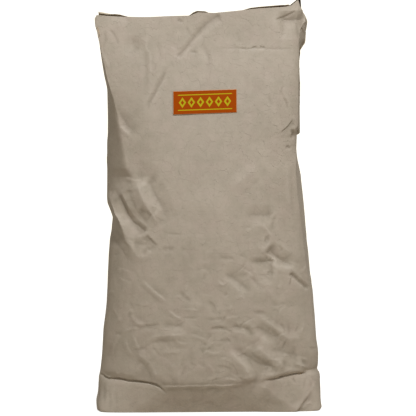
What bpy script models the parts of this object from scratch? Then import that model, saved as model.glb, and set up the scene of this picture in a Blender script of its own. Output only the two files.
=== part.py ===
"""A paper valve sack of loose vermiculite, filled, closed and standing on its block bottom.

The sack is a tube of kraft paper whose two ends are folded into flat rectangular blocks. Each block is
covered by a glued strip, and the filling valve is a flat paper sleeve in one corner of the top block.
The front looks along -Y, +X is to the right and +Z is up. All lengths are in metres.
"""
import bmesh
import bpy
import numpy as np
from mathutils import Vector
from mathutils.bvhtree import BVHTree

# Paper: each wall stands for a few plies, thicker than the real paper so that it is a sound solid.
WALL = 0.0014
PATCH = 0.0010
STICKER = 0.0004
GAP = 0.0003
# The underside of the sack lies on the strip that is glued under it.
BASE_HEIGHT = PATCH + GAP

# The outline of the sack as seen from the front: height above the ground, then x of its edge.
LEFT_EDGE = (
    (0.001, -0.268), (0.004, -0.275), (0.010, -0.279), (0.022, -0.281), (0.045, -0.277),
    (0.080, -0.275), (0.095, -0.272), (0.120, -0.269), (0.195, -0.264), (0.255, -0.257),
    (0.315, -0.253), (0.385, -0.250), (0.425, -0.2465), (0.443, -0.244), (0.465, -0.241),
    (0.479, -0.240), (0.489, -0.242), (0.503, -0.2475), (0.516, -0.2515), (0.530, -0.2535),
    (0.605, -0.254), (0.655, -0.254), (0.685, -0.252),
    (0.785, -0.254), (0.825, -0.262), (0.870, -0.268), (0.915, -0.273), (0.947, -0.283),
    (0.970, -0.286),
)
RIGHT_EDGE = (
    (0.001, 0.268), (0.004, 0.274), (0.009, 0.277), (0.022, 0.277), (0.045, 0.278),
    (0.075, 0.278), (0.090, 0.276), (0.100, 0.269), (0.113, 0.271), (0.135, 0.273),
    (0.185, 0.268), (0.255, 0.262), (0.315, 0.257), (0.385, 0.250), (0.435, 0.244),
    (0.485, 0.240), (0.525, 0.236), (0.585, 0.228), (0.635, 0.220), (0.653, 0.219),
    (0.675, 0.226), (0.735, 0.228), (0.785, 0.229), (0.835, 0.227), (0.870, 0.229),
    (0.890, 0.235), (0.915, 0.242), (0.947, 0.244), (0.970, 0.245),
)

# Height in the middle of the front, half the depth from front to back, and squareness, where 2 is an
# ellipse and 12 a rectangle with small round corners.
SECTION = (
    (0.061, 0.118, 1.80), (0.069, 0.1215, 2.10), (0.083, 0.1235, 2.35), (0.110, 0.126, 2.50),
    (0.175, 0.129, 2.60), (0.240, 0.132, 2.60), (0.310, 0.133, 2.60), (0.385, 0.132, 2.60),
    (0.485, 0.126, 2.70), (0.590, 0.117, 3.20), (0.725, 0.104, 4.20), (0.845, 0.090, 5.00),
    (0.900, 0.083, 5.00), (0.945, 0.077, 4.80), (0.985, 0.072, 4.20),
)
BASE_HALF_DEPTH = 0.090
BASE_SQUARENESS = 9.0

# The crease over the bottom block and the fold line of the top block: x, then height.
CREASE_LINE = (
    (-0.276, 0.089), (-0.221, 0.073), (-0.156, 0.063), (-0.110, 0.057), (0.000, 0.0605),
    (0.119, 0.067), (0.154, 0.070), (0.204, 0.082), (0.246, 0.089), (0.276, 0.093),
)
TOP_LINE = (
    (-0.286, 0.961), (-0.279, 0.975), (-0.255, 0.973), (-0.200, 0.969), (-0.150, 0.968),
    (-0.090, 0.971), (-0.050, 0.972), (-0.032, 0.980), (0.010, 0.979), (0.060, 0.984),
    (0.120, 0.991), (0.185, 0.996), (0.205, 1.019), (0.226, 1.019), (0.234, 0.989),
    (0.244, 0.969),
)

# Upright creases on the front, from which the paper runs straight to the side: height, then x.
LEFT_FACET = (
    (0.508, -0.245), (0.522, -0.240), (0.544, -0.220), (0.573, -0.206), (0.597, -0.208),
    (0.636, -0.214), (0.675, -0.218), (0.714, -0.2205), (0.758, -0.230), (0.788, -0.238),
    (0.812, -0.245), (0.841, -0.2545), (0.880, -0.264),
)
RIGHT_FACET = (
    (0.315, 0.244), (0.345, 0.236), (0.375, 0.229), (0.420, 0.222), (0.470, 0.215),
    (0.515, 0.208), (0.575, 0.205), (0.635, 0.212), (0.685, 0.216), (0.785, 0.217),
    (0.865, 0.2200), (0.891, 0.2190), (0.906, 0.2215), (0.926, 0.2310), (0.951, 0.2370),
)
FACET_FADE = 0.050

# The flat band of paper between the crest at the left edge of the waist and the valley beside it:
# height, then the crest's x and y, then the valley's x.
WAIST_BAND = (
    (0.420, -0.2045, -0.0960, -0.1500), (0.466, -0.2266, -0.0866, -0.1766),
    (0.488, -0.2389, -0.0790, -0.1924), (0.512, -0.2450, -0.0780, -0.2065),
    (0.522, -0.2462, -0.0775, -0.2136), (0.530, -0.2470, -0.0775, -0.2190),
)
BAND_FADES = (0.425, 0.460, 0.519, 0.534)

# The folds of the slack left waist, on the front: the path as x and height, how far the paper stands
# out there, and how wide the fold is on the left and on the right hand of a walker along the path.
WAIST_FOLDS = (
    (((-0.231, 0.556), (-0.210, 0.519), (-0.183, 0.474), (-0.156, 0.439)), -0.007, 0.016, 0.032),
    (((-0.245, 0.522), (-0.237, 0.487), (-0.207, 0.432), (-0.173, 0.379)), 0.008, 0.036, 0.028),
    (((-0.181, 0.563), (-0.173, 0.544), (-0.161, 0.512), (-0.139, 0.471)), 0.0065, 0.030, 0.028),
    (((-0.156, 0.568), (-0.142, 0.549), (-0.115, 0.490), (-0.098, 0.466)), -0.004, 0.030, 0.028),
)
FOLD_END = 0.25

# Where the paper's level lines run: shares of the way up the bottom block, and of the way from its
# crease up to the fold line of the top block. They lie close together at the folded waist.
BLOCK_SHARES = (0.0, 0.10, 0.55)
WAIST_SHARES = (0.305, 0.330, 0.355, 0.380, 0.405, 0.430, 0.4535, 0.476, 0.4965, 0.507, 0.530, 0.555,
                0.580)
BODY_SHARES = (0.0, 0.024, 0.065, 0.125, 0.195, 0.260, *WAIST_SHARES, 0.640, 0.7235, 0.794, 0.854,
               0.908, 0.954, 1.0)

# Where the upright lines run, as shares of a quarter of the girth from a side to the front.
LEFT_SHARES = (0.0, 0.07, 0.13, 0.18, 0.235, 0.29, 0.345, 0.40, 0.455, 0.51, 0.58, 0.68, 0.78, 0.89)
RIGHT_SHARES = (0.0, 0.07, 0.14, 0.20, 0.26, 0.33, 0.42, 0.52, 0.64, 0.76, 0.88)
# The right side's place in a ring of points that starts at the left side.
RIGHT_SIDE = len(LEFT_SHARES) + len(RIGHT_SHARES)
# Points of half a girth line before the ring's own points are picked from it.
HALF_LINE = 600

# The filling mouth is a slot across the top block, under the sleeve.
MOUTH_AT_X = 0.195
MOUTH_SHARE = 0.55

# The inner points of the top block lie this far inside its two ends, fading fast towards the middle.
END_RIM = 0.008
END_RIM_POWER = 30

BOTTOM_PATCH = (0.500, 0.130)
TOP_PATCH_ENDS = (-0.262, 0.196)
TOP_PATCH_WIDTH = 0.096
SLEEVE_ENDS = (0.120, 0.226)
SLEEVE_WIDTH = 0.080

LABEL_CENTRE = (-0.015, 0.7585)
LABEL_SIZE = (0.156, 0.058)
LABEL_TILT = 0.038
LABEL_CELLS = (16, 6)


def clear_scene():
    for thing in list(bpy.data.objects):
        bpy.data.objects.remove(thing, do_unlink=True)


def material(name, colour, roughness):
    made = bpy.data.materials.new(name)
    made.use_nodes = True
    shader = made.node_tree.nodes["Principled BSDF"]
    shader.inputs["Base Color"].default_value = (*colour, 1.0)
    shader.inputs["Roughness"].default_value = roughness
    shader.inputs["Metallic"].default_value = 0.0
    return made


def add_object(name, points, faces, finish, smooth_angle=None):
    """Makes one closed body from its points and triangles."""
    mesh = bpy.data.meshes.new(name)
    mesh.from_pydata([tuple(p) for p in points], [], [tuple(f) for f in faces])
    mesh.materials.append(finish)
    if smooth_angle is not None:
        mesh.shade_smooth()
        mesh.set_sharp_from_angle(angle=smooth_angle)
    thing = bpy.data.objects.new(name, mesh)
    bpy.context.scene.collection.objects.link(thing)
    return thing


def girth_shares():
    """Shares of the whole girth, from the left side along the front, the right side and the back."""
    left = np.array(LEFT_SHARES)
    right = np.array(RIGHT_SHARES)
    half = np.concatenate([left, [1.0], 2.0 - right[:0:-1]])
    return np.concatenate([half, 2.0 + right, [3.0], 4.0 - left[:0:-1]]) / 4.0


def at(place, line):
    """Reads a line of value pairs at one place or at many."""
    return np.interp(place, [p[0] for p in line], [p[1] for p in line])


def girth_line(left, right, half_depth, squareness):
    """A fine superellipse that runs from the left side along the front, the right side and the back."""
    angle = np.linspace(0.0, 2.0 * np.pi, 2 * HALF_LINE + 1)
    power = 2.0 / squareness
    across = -np.sign(np.cos(angle)) * np.abs(np.cos(angle)) ** power
    deep = -np.sign(np.sin(angle)) * np.abs(np.sin(angle)) ** power
    half_width = (right - left) / 2.0
    return np.column_stack([(left + right) / 2.0 + half_width * across, half_depth * deep])


def flattened(line, side, facet):
    """The girth line with its front drawn straight from a facet's crease to the side."""
    start, end = facet[0][0], facet[-1][0]
    height = line[side, 2]
    weight = np.interp(height, (start, start + FACET_FADE, end - FACET_FADE, end), (0.0, 1.0, 1.0, 0.0))
    x, y = line[:HALF_LINE + 1, :2].T
    crease = at(height, facet)
    crease_depth = np.interp(crease, x, y)
    chord = crease_depth * (x - line[side, 0]) / (crease - line[side, 0])
    beyond = (x - crease) * (line[side, 0] - crease) > 0.0
    line[:HALF_LINE + 1, 1] = np.where(beyond, y + weight * (chord - y), y)
    return line


def with_band(line):
    """The girth line with the flat band of the left waist drawn out to its crest."""
    x, y, height = line[:HALF_LINE + 1].T
    crest_x, crest_y, valley_x = (at(height, [(b[0], b[k]) for b in WAIST_BAND]) for k in (1, 2, 3))
    valley_y = np.interp(valley_x, x, y)
    beside = crest_y * (x - x[0]) / (crest_x - x[0])
    band = crest_y + (valley_y - crest_y) * (x - crest_x) / (valley_x - crest_x)
    drawn = np.where(x < crest_x, beside, np.where(x < valley_x, band, y))
    weight = np.interp(height, BAND_FADES, (0.0, 1.0, 1.0, 0.0))
    line[:HALF_LINE + 1, 1] = y + weight * (drawn - y)
    return line


def picked(line):
    """The points of a fine girth line where the paper's upright lines cross it."""
    along = np.concatenate([[0.0], np.cumsum(np.hypot(*np.diff(line[:, :2], axis=0).T))])
    knots = (0.0, along[HALF_LINE], along[-1])
    wanted = np.interp(girth_shares(), (0.0, 0.5, 1.0), knots)
    return np.column_stack([np.interp(wanted, along, values) for values in line.T])


def body_ring(share):
    """One ring of the body, at its share of the way from the crease to the fold line on top."""
    nominal = SECTION[0][0] + (SECTION[-1][0] - SECTION[0][0]) * share
    ends = []
    for edge in (LEFT_EDGE, RIGHT_EDGE):
        side = edge[-1][1]
        low, high = at(side, CREASE_LINE), at(side, TOP_LINE)
        ends.append(at(low + (high - low) * share, edge))
    half_depth = at(nominal, [s[:2] for s in SECTION])
    squareness = at(nominal, [s[::2] for s in SECTION])
    line = girth_line(ends[0], ends[1], half_depth, squareness)
    low, high = at(line[:, 0], CREASE_LINE), at(line[:, 0], TOP_LINE)
    line = np.column_stack([line, low + (high - low) * share])
    line = flattened(line, 0, LEFT_FACET)
    line = flattened(line, HALF_LINE, RIGHT_FACET)
    return picked(with_band(line))


def block_ring(share, crease):
    """One ring of the bottom block, at its share of the way from the ground to the crease ring."""
    foot = picked(girth_line(crease[0, 0], crease[RIGHT_SIDE, 0], BASE_HALF_DEPTH, BASE_SQUARENESS))
    plan = foot + (crease[:, :2] - foot) * share
    height = BASE_HEIGHT + (crease[:, 2] - BASE_HEIGHT) * share
    left, right = at(height[0], LEFT_EDGE), at(height[RIGHT_SIDE], RIGHT_EDGE)
    span = (right - left) / (plan[RIGHT_SIDE, 0] - plan[0, 0])
    return np.column_stack([left + (plan[:, 0] - plan[0, 0]) * span, plan[:, 1], height])


def fold_height(ring, path, height, left, right):
    """How far one fold pushes the points out: a tent along its path, sinking away at both ends."""
    line = np.array(path)
    places = ring[:, (0, 2)]
    lengths = np.hypot(*np.diff(line, axis=0).T)
    nearest = np.full(len(ring), np.inf)
    share = np.zeros(len(ring))
    hand = np.zeros(len(ring))
    walked = 0.0
    for start, end, length in zip(line[:-1], line[1:], lengths):
        step = (end - start) / length
        offset = places - start
        along = np.clip(offset @ step, 0.0, length)
        away = np.hypot(*(offset - along[:, None] * step).T)
        closer = away < nearest
        nearest = np.where(closer, away, nearest)
        share = np.where(closer, (walked + along) / lengths.sum(), share)
        hand = np.where(closer, step[0] * offset[:, 1] - step[1] * offset[:, 0], hand)
        walked += length
    tent = np.clip(1.0 - nearest / np.where(hand > 0.0, left, right), 0.0, 1.0)
    return height * tent * np.clip(np.minimum(share, 1.0 - share) / FOLD_END, 0.0, 1.0)


def folded(ring):
    """The ring with the folds of the left waist pressed into its front."""
    around = np.roll(ring, -1, axis=0) - np.roll(ring, 1, axis=0)
    out = np.column_stack([around[:, 1], -around[:, 0], np.zeros(len(ring))])
    out /= np.linalg.norm(out, axis=1)[:, None]
    pushed = sum(fold_height(ring, *fold) for fold in WAIST_FOLDS)
    return ring + out * np.where(ring[:, 1] < 0.0, pushed, 0.0)[:, None]


def sack_rings():
    """The rings of points around the sack, from the underside to the fold line of the top block."""
    crease = body_ring(0.0)
    rings = [block_ring(share, crease) for share in BLOCK_SHARES]
    rings += [folded(body_ring(share)) for share in BODY_SHARES]
    return rings


def top_block_points(ring):
    """Two lines of points across the top block, between the front and the back of each column."""
    middle = (TOP_LINE[0][0] + TOP_LINE[-1][0]) / 2.0
    reach = (ring[:, 0] - middle) / (TOP_LINE[-1][0] - middle)
    x = ring[:, 0] - END_RIM * np.sign(reach) * np.abs(reach) ** END_RIM_POWER
    inner = np.column_stack([x, ring[:, 1] * MOUTH_SHARE, at(x, TOP_LINE)])
    return inner[1:RIGHT_SIDE], inner[RIGHT_SIDE + 1:][::-1]


def quad(a, b, c, d):
    return [(a, b, c), (a, c, d)]


def wall_faces(row_count, count):
    """The triangles between each ring and the next one up."""
    faces = []
    for row in range(row_count - 1):
        low = row * count
        high = low + count
        for i in range(count):
            j = (i + 1) % count
            faces += quad(low + i, low + j, high + j, high + i)
    return faces


def underside_faces(centre, count):
    return [(centre, (i + 1) % count, i) for i in range(count)]


def top_block_faces(ring_start, near_start, far_start, count, open_column=None):
    """Closes the top block with triangles, and leaves out the mouth's cell in one column."""
    half = count // 2
    columns = half - 1
    front = [ring_start + 1 + i for i in range(columns)]
    back = [ring_start + count - 1 - i for i in range(columns)]
    near = [near_start + i for i in range(columns)]
    far = [far_start + i for i in range(columns)]
    faces = []
    for line, other in ((front, near), (near, far), (far, back)):
        faces.append((ring_start, line[0], other[0]))
        faces.append((line[-1], ring_start + half, other[-1]))
        for i in range(columns - 1):
            if line is near and i == open_column:
                continue
            faces += quad(line[i], line[i + 1], other[i + 1], other[i])
    return faces


def sack_surface():
    """The whole outer skin of the sack: its points, its faces and the mouth's four corners."""
    rings = sack_rings()
    count = len(rings[0])
    near, far = top_block_points(rings[-1])
    centre = np.array([[0.0, 0.0, BASE_HEIGHT]])
    points = np.vstack(rings + [near, far, centre])
    top_start = (len(rings) - 1) * count
    near_start = len(rings) * count
    far_start = near_start + len(near)
    faces = wall_faces(len(rings), count) + underside_faces(len(points) - 1, count)
    mouth = int(np.argmin(np.abs(near[:, 0] - MOUTH_AT_X)))
    whole = faces + top_block_faces(top_start, near_start, far_start, count)
    open_skin = faces + top_block_faces(top_start, near_start, far_start, count, open_column=mouth)
    corners = (near_start + mouth, near_start + mouth + 1, far_start + mouth + 1, far_start + mouth)
    return points, whole, open_skin, corners


def inward(points, faces, distance):
    """The same points moved inside by an even distance from the faces around them."""
    work = bmesh.new()
    corners = [work.verts.new(p) for p in points]
    for face in faces:
        work.faces.new([corners[i] for i in face])
    work.normal_update()
    moved = np.array([v.co - v.normal * distance * v.calc_shell_factor() for v in work.verts])
    work.free()
    return moved


def make_sack(points, whole, open_skin, corners, finish):
    """The paper wall: outer skin, inner skin and the four edges of the mouth."""
    inner = inward(points, whole, WALL)
    shift = len(points)
    faces = list(open_skin) + [tuple(i + shift for i in face[::-1]) for face in open_skin]
    for a, b in zip(corners, corners[1:] + corners[:1]):
        faces += quad(a, b, b + shift, a + shift)
    return add_object("paper_sack", np.vstack([points, inner]), faces, finish, np.radians(40.0))


def make_fill(points, whole, finish):
    """The loose filling, settled against the paper on every side."""
    inner = inward(points, whole, WALL + GAP)
    return add_object("vermiculite_fill", inner, whole, finish, np.radians(40.0))


def make_strip(name, columns, ends, lift, width, finish):
    """A flat paper strip laid over the top block, bending where the block's own columns do."""
    inside = columns[:, 0][(columns[:, 0] > ends[0]) & (columns[:, 0] < ends[1])]
    x = np.concatenate([[ends[0]], inside, [ends[1]]])
    low = np.interp(x, columns[:, 0], columns[:, 2]) + lift
    half = width / 2.0
    points = []
    for y, z in ((-half, low), (half, low), (half, low + PATCH), (-half, low + PATCH)):
        points.append(np.column_stack([x, np.full_like(x, y), z]))
    points = np.stack(points, axis=1).reshape(-1, 3)
    faces = quad(0, 3, 2, 1)
    for i in range(len(x) - 1):
        for k in range(4):
            a = 4 * i + k
            b = 4 * i + (k + 1) % 4
            faces += quad(a, b, b + 4, a + 4)
    end = 4 * (len(x) - 1)
    faces += quad(end, end + 1, end + 2, end + 3)
    return add_object(name, points, faces, finish)


def make_bottom_patch(finish):
    """The strip glued over the bottom block, on which the sack stands."""
    length, width = BOTTOM_PATCH
    work = bmesh.new()
    bmesh.ops.create_cube(work, size=1.0)
    bmesh.ops.scale(work, vec=Vector((length, width, PATCH)), verts=work.verts)
    bmesh.ops.translate(work, vec=Vector((0.0, 0.0, PATCH / 2.0)), verts=work.verts)
    upright = [e for e in work.edges if abs(e.verts[0].co.z - e.verts[1].co.z) > PATCH / 2.0]
    bmesh.ops.bevel(work, geom=upright, offset=0.012, segments=3, affect="EDGES")
    mesh = bpy.data.meshes.new("bottom_patch")
    work.to_mesh(mesh)
    work.free()
    mesh.materials.append(finish)
    thing = bpy.data.objects.new("bottom_patch", mesh)
    bpy.context.scene.collection.objects.link(thing)
    return thing


def make_label(points, faces, finish):
    """A thin sticker laid on the front, following its curve."""
    tree = BVHTree.FromPolygons([tuple(p) for p in points], faces)
    across = np.linspace(-LABEL_SIZE[0] / 2.0, LABEL_SIZE[0] / 2.0, LABEL_CELLS[0] + 1)
    up = np.linspace(-LABEL_SIZE[1] / 2.0, LABEL_SIZE[1] / 2.0, LABEL_CELLS[1] + 1)
    columns = len(across)
    layers = []
    for stand in (GAP, GAP + STICKER):
        for v in up:
            for u in across:
                x = LABEL_CENTRE[0] + u - LABEL_TILT * v
                z = LABEL_CENTRE[1] + v + LABEL_TILT * u
                hit, normal, _, _ = tree.ray_cast(Vector((x, -1.0, z)), Vector((0.0, 1.0, 0.0)))
                layers.append(hit + normal * stand)
    size = columns * len(up)
    faces = []
    for j in range(len(up) - 1):
        for i in range(columns - 1):
            a = j * columns + i
            b = a + columns
            faces += quad(a, b, b + 1, a + 1)
            faces += quad(size + a, size + a + 1, size + b + 1, size + b)
    border = [i for i in range(columns)]
    border += [columns * (j + 1) - 1 for j in range(1, len(up))]
    border += [size - 1 - i for i in range(1, columns)]
    border += [columns * j for j in range(len(up) - 2, 0, -1)]
    for a, b in zip(border, border[1:] + border[:1]):
        faces += quad(a, b, size + b, size + a)
    return add_object("front_label", layers, faces, finish)


def centre_on_origin(things):
    """Moves the points of all pieces together so that the sack stands centred on the origin."""
    corners = np.array([v.co for thing in things for v in thing.data.vertices])
    middle = (corners.min(axis=0) + corners.max(axis=0)) / 2.0
    shift = Vector((-middle[0], -middle[1], 0.0))
    for thing in things:
        for v in thing.data.vertices:
            v.co += shift


def build():
    clear_scene()
    kraft = material("sack_paper", (0.43, 0.37, 0.29), 0.62)
    patch_paper = material("patch_paper", (0.46, 0.40, 0.32), 0.62)
    brown_kraft = material("sleeve_paper", (0.36, 0.23, 0.10), 0.60)
    flakes = material("vermiculite", (0.47, 0.33, 0.16), 0.70)
    sticker = material("label_print", (0.46, 0.07, 0.004), 0.45)

    points, whole, open_skin, corners = sack_surface()
    count = len(girth_shares())
    top_start = (len(BLOCK_SHARES) + len(BODY_SHARES) - 1) * count
    columns = points[top_start:][:count // 2 + 1]
    things = [
        make_sack(points, whole, open_skin, corners, kraft),
        make_fill(points, whole, flakes),
        make_strip("valve_sleeve", columns, SLEEVE_ENDS, GAP, SLEEVE_WIDTH, brown_kraft),
        make_strip("top_patch", columns, TOP_PATCH_ENDS, 2.0 * GAP + PATCH, TOP_PATCH_WIDTH,
                   patch_paper),
        make_bottom_patch(patch_paper),
        make_label(points, whole, sticker),
    ]
    centre_on_origin(things)


build()
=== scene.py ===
# %% [markdown]
# # A filled paper sack of vermiculite
#
# The real object is a tube of grey-beige kraft paper. Both ends are folded into flat rectangular
# blocks and covered by a glued strip, and the light, springy flakes inside push the walls out. This
# lesson dresses the plain solids of that sack: paper that bulges, creases and crumples, a printed
# label, and the brown valve sleeve that peeps out of one top corner.

import bpy
import numpy as np
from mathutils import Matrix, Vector


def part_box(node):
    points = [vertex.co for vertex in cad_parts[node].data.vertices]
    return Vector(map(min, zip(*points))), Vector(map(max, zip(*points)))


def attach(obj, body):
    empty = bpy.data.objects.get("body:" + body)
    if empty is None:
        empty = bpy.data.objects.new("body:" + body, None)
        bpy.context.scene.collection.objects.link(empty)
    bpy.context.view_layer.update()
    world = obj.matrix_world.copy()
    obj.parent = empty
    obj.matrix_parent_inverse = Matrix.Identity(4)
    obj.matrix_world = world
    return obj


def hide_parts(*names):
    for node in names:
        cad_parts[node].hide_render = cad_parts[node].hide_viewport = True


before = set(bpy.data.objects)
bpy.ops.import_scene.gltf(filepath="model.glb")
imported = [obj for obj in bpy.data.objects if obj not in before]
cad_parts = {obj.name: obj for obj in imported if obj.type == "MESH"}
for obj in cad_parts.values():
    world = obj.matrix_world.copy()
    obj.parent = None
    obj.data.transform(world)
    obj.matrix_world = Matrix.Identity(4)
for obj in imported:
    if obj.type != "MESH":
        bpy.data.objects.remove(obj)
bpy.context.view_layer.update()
print("solids:", ", ".join(sorted(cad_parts)))

# %% [markdown]
# ## Measures
#
# The paper skin is a stack of girth lines. Each one is a superellipse between the sack's left and
# right edges, so four short curves say the whole body: the two side edges as they are seen from the
# front, how deep the sack is, and how square its section is. Listed points with a smooth curve
# through them are easy to read and to correct, which a sculpted mesh is not.

# %% The side edges, the depth and the squareness of the sack
MM = 0.001
sack_low, sack_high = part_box("paper_sack")
FLOOR_TO_PAPER = sack_low.z
# The solids were centred after they were drawn. Before that, this was the sack's least x.
LEFT_MOST = -0.2848
SHIFT_X = sack_low.x - LEFT_MOST

# Height above the floor, then how far right of the middle the edge lies.
LEFT_EDGE = (
    (0.001, -0.272), (0.004, -0.278), (0.010, -0.280), (0.022, -0.281), (0.045, -0.277),
    (0.080, -0.275), (0.095, -0.272), (0.120, -0.269), (0.195, -0.264), (0.255, -0.257),
    (0.315, -0.253), (0.385, -0.250), (0.425, -0.2465), (0.443, -0.244), (0.465, -0.241),
    (0.479, -0.240), (0.489, -0.243), (0.503, -0.2500), (0.516, -0.2530), (0.530, -0.2540),
    (0.605, -0.254), (0.655, -0.254), (0.685, -0.252),
    (0.785, -0.254), (0.825, -0.262), (0.870, -0.270), (0.915, -0.277), (0.947, -0.2835),
    (0.970, -0.286),
)
RIGHT_EDGE = (
    (0.001, 0.271), (0.004, 0.276), (0.009, 0.2785), (0.022, 0.2785), (0.045, 0.279),
    (0.075, 0.279), (0.090, 0.277), (0.100, 0.272), (0.113, 0.2735), (0.135, 0.274),
    (0.185, 0.268), (0.255, 0.262), (0.315, 0.257), (0.385, 0.250), (0.435, 0.244),
    (0.485, 0.240), (0.525, 0.236), (0.585, 0.227), (0.612, 0.2205), (0.635, 0.2185),
    (0.653, 0.2185), (0.675, 0.2285), (0.735, 0.228), (0.785, 0.229), (0.835, 0.227), (0.870, 0.229),
    (0.890, 0.235), (0.915, 0.242), (0.947, 0.244), (0.970, 0.245),
)
# Height above the floor, then half the depth from front to back and the squareness.
SECTION = (
    (0.061, 0.119, 2.30), (0.069, 0.1218, 2.36), (0.083, 0.1237, 2.43), (0.110, 0.126, 2.50),
    (0.175, 0.129, 2.60), (0.240, 0.132, 2.60), (0.310, 0.133, 2.60), (0.385, 0.132, 2.60),
    (0.485, 0.126, 2.70), (0.590, 0.117, 3.20), (0.725, 0.104, 4.20), (0.845, 0.090, 5.00),
    (0.900, 0.082, 5.00), (0.945, 0.077, 4.80), (0.985, 0.0735, 4.20),
)
# The fold line of the bottom block and the fold line of the top block: distance right of the
# middle, then height.
CREASE_LINE = (
    (-0.276, 0.0990), (-0.252, 0.0893), (-0.220, 0.0820), (-0.172, 0.0772), (-0.148, 0.0735),
    (-0.123, 0.0672), (-0.090, 0.0680), (0.000, 0.0690), (0.071, 0.0702), (0.095, 0.0745),
    (0.124, 0.0785), (0.139, 0.0820), (0.168, 0.0900), (0.200, 0.0962), (0.229, 0.0990),
    (0.276, 0.1040),
)
TOP_LINE = (
    (-0.286, 0.959), (-0.279, 0.972), (-0.255, 0.9705), (-0.200, 0.968), (-0.150, 0.968),
    (-0.090, 0.971), (-0.050, 0.972), (-0.032, 0.980), (0.010, 0.979), (0.060, 0.984),
    (0.120, 0.991), (0.185, 0.996), (0.200, 1.000), (0.212, 1.010), (0.218, 1.015),
    (0.223, 0.999), (0.230, 0.989), (0.244, 0.964),
)
# The lowest ring is the edge of the bottom block: a rectangle with small round corners.
BASE_ENDS = (LEFT_EDGE[3][1], RIGHT_EDGE[3][1])
BASE_HALF_DEPTH = 0.090
BASE_SQUARENESS = 9.0
NOMINAL_CREASE = SECTION[0][0]
NOMINAL_TOP = SECTION[-1][0]


def smooth_curve(x, points):
    """Value at x of a smooth curve through given points.

    Between two points it is a cubic. Its slope at a point is the harmonic mean of the slopes on
    both sides, or zero where the curve turns, so it never swings past a point.
    """
    px = np.array([p[0] for p in points])
    py = np.array([p[1] for p in points])
    step = np.diff(px)
    slope = np.diff(py) / step
    turn = slope[:-1] * slope[1:] <= 0.0
    total = np.where(turn, 1.0, slope[:-1] + slope[1:])
    inner = np.where(turn, 0.0, 2.0 * slope[:-1] * slope[1:] / total)
    tangent = np.concatenate([[slope[0]], inner, [slope[-1]]])
    x = np.clip(x, px[0], px[-1])
    k = np.clip(np.searchsorted(px, x, side="right") - 1, 0, len(px) - 2)
    t = (x - px[k]) / step[k]
    rise = (1.0 + 2.0 * t) * (1.0 - t) ** 2 * py[k] + t ** 2 * (3.0 - 2.0 * t) * py[k + 1]
    lean = t * (1.0 - t) ** 2 * tangent[k] - t ** 2 * (1.0 - t) * tangent[k + 1]
    return rise + lean * step[k]


def piece_of_line(x, points):
    """Value at x of straight stretches between given points."""
    return np.interp(x, [p[0] for p in points], [p[1] for p in points])


# %% [markdown]
# ## The skin as one sheet of paper
#
# Paper does not stretch, so a point on the tube keeps its share of the girth from the floor to the
# top. The grid follows that: one direction is the share of the girth, the other climbs the sack.

# %% The grid of the skin
FRONT_COLUMNS = 330
BACK_COLUMNS = 330
BAND_ROWS = 44
BODY_ROWS = 440
OUTLINE_SAMPLES = 900


def girth_shares():
    """Shares of the girth: 0 is the left side, 0.25 the middle of the front, 0.5 the right side."""
    front = np.linspace(0.0, 0.5, FRONT_COLUMNS, endpoint=False)
    back = np.linspace(0.5, 1.0, BACK_COLUMNS, endpoint=False)
    return np.concatenate([front, back])


def outline(left, right, half_depth, squareness, shares):
    """Points of a superellipse at the given shares of its girth.

    |x| / half width and |y| / half depth, both to the power of the squareness, add up to one.
    """
    angle = np.linspace(0.0, 2.0 * np.pi, OUTLINE_SAMPLES)
    power = 2.0 / squareness
    across = -np.sign(np.cos(angle)) * np.abs(np.cos(angle)) ** power
    deep = -np.sign(np.sin(angle)) * np.abs(np.sin(angle)) ** power
    x = (left + right) / 2.0 + (right - left) / 2.0 * across
    y = half_depth * deep
    along = np.concatenate([[0.0], np.cumsum(np.hypot(np.diff(x), np.diff(y)))])
    wanted = shares * along[-1]
    return np.interp(wanted, along, x), np.interp(wanted, along, y)


def body_ring(climb, shares):
    """One ring of the body, climb of the way from the bottom crease to the top fold line."""
    nominal = NOMINAL_CREASE + (NOMINAL_TOP - NOMINAL_CREASE) * climb
    ends = []
    for edge, end in ((LEFT_EDGE, 0), (RIGHT_EDGE, -1)):
        low, high = CREASE_LINE[end][1], TOP_LINE[end][1]
        ends.append(float(smooth_curve(low + (high - low) * climb, edge)))
    half_depth = float(smooth_curve(nominal, [s[:2] for s in SECTION]))
    squareness = float(smooth_curve(nominal, [s[::2] for s in SECTION]))
    x, y = outline(*ends, half_depth, squareness, shares)
    low = smooth_curve(x, CREASE_LINE)
    high = piece_of_line(x, TOP_LINE)
    return np.stack([x, y, low + (high - low) * climb], axis=1)


def skin_grid():
    """The smooth skin: rows from the base edge up to the top fold line, as one array of points."""
    shares = girth_shares()
    crease = body_ring(0.0, shares)
    base_x, base_y = outline(*BASE_ENDS, BASE_HALF_DEPTH, BASE_SQUARENESS, shares)
    rows = []
    for share in np.linspace(0.0, 1.0, BAND_ROWS, endpoint=False):
        height = FLOOR_TO_PAPER + (crease[:, 2] - FLOOR_TO_PAPER) * share
        left = float(smooth_curve(height[0], LEFT_EDGE))
        right = float(smooth_curve(height[FRONT_COLUMNS], RIGHT_EDGE))
        x = base_x + (crease[:, 0] - base_x) * share
        y = base_y + (crease[:, 1] - base_y) * share
        span = (right - left) / (x[FRONT_COLUMNS] - x[0])
        rows.append(np.stack([left + (x - x[0]) * span, y, height], axis=1))
    for climb in np.linspace(0.0, 1.0, BODY_ROWS):
        rows.append(body_ring(climb, shares))
    return np.array(rows)


skin = skin_grid()
print("skin grid:", skin.shape[0], "rows of", skin.shape[1], "points")


# %% [markdown]
# ## Crumpled paper
#
# Paper bends easily but never stretches, so a crushed sheet is made of nearly flat facets that meet
# in sharp lines. Rounded noise looks like cloth or clay. Two fields make paper here: a net of
# triangles with a random height at each corner, and a field of shallow dishes that meet in ridges.
# Both are worked out in metres round the girth and up the sack, and they close round the girth
# because the count of cells round it is a whole number.

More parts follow.
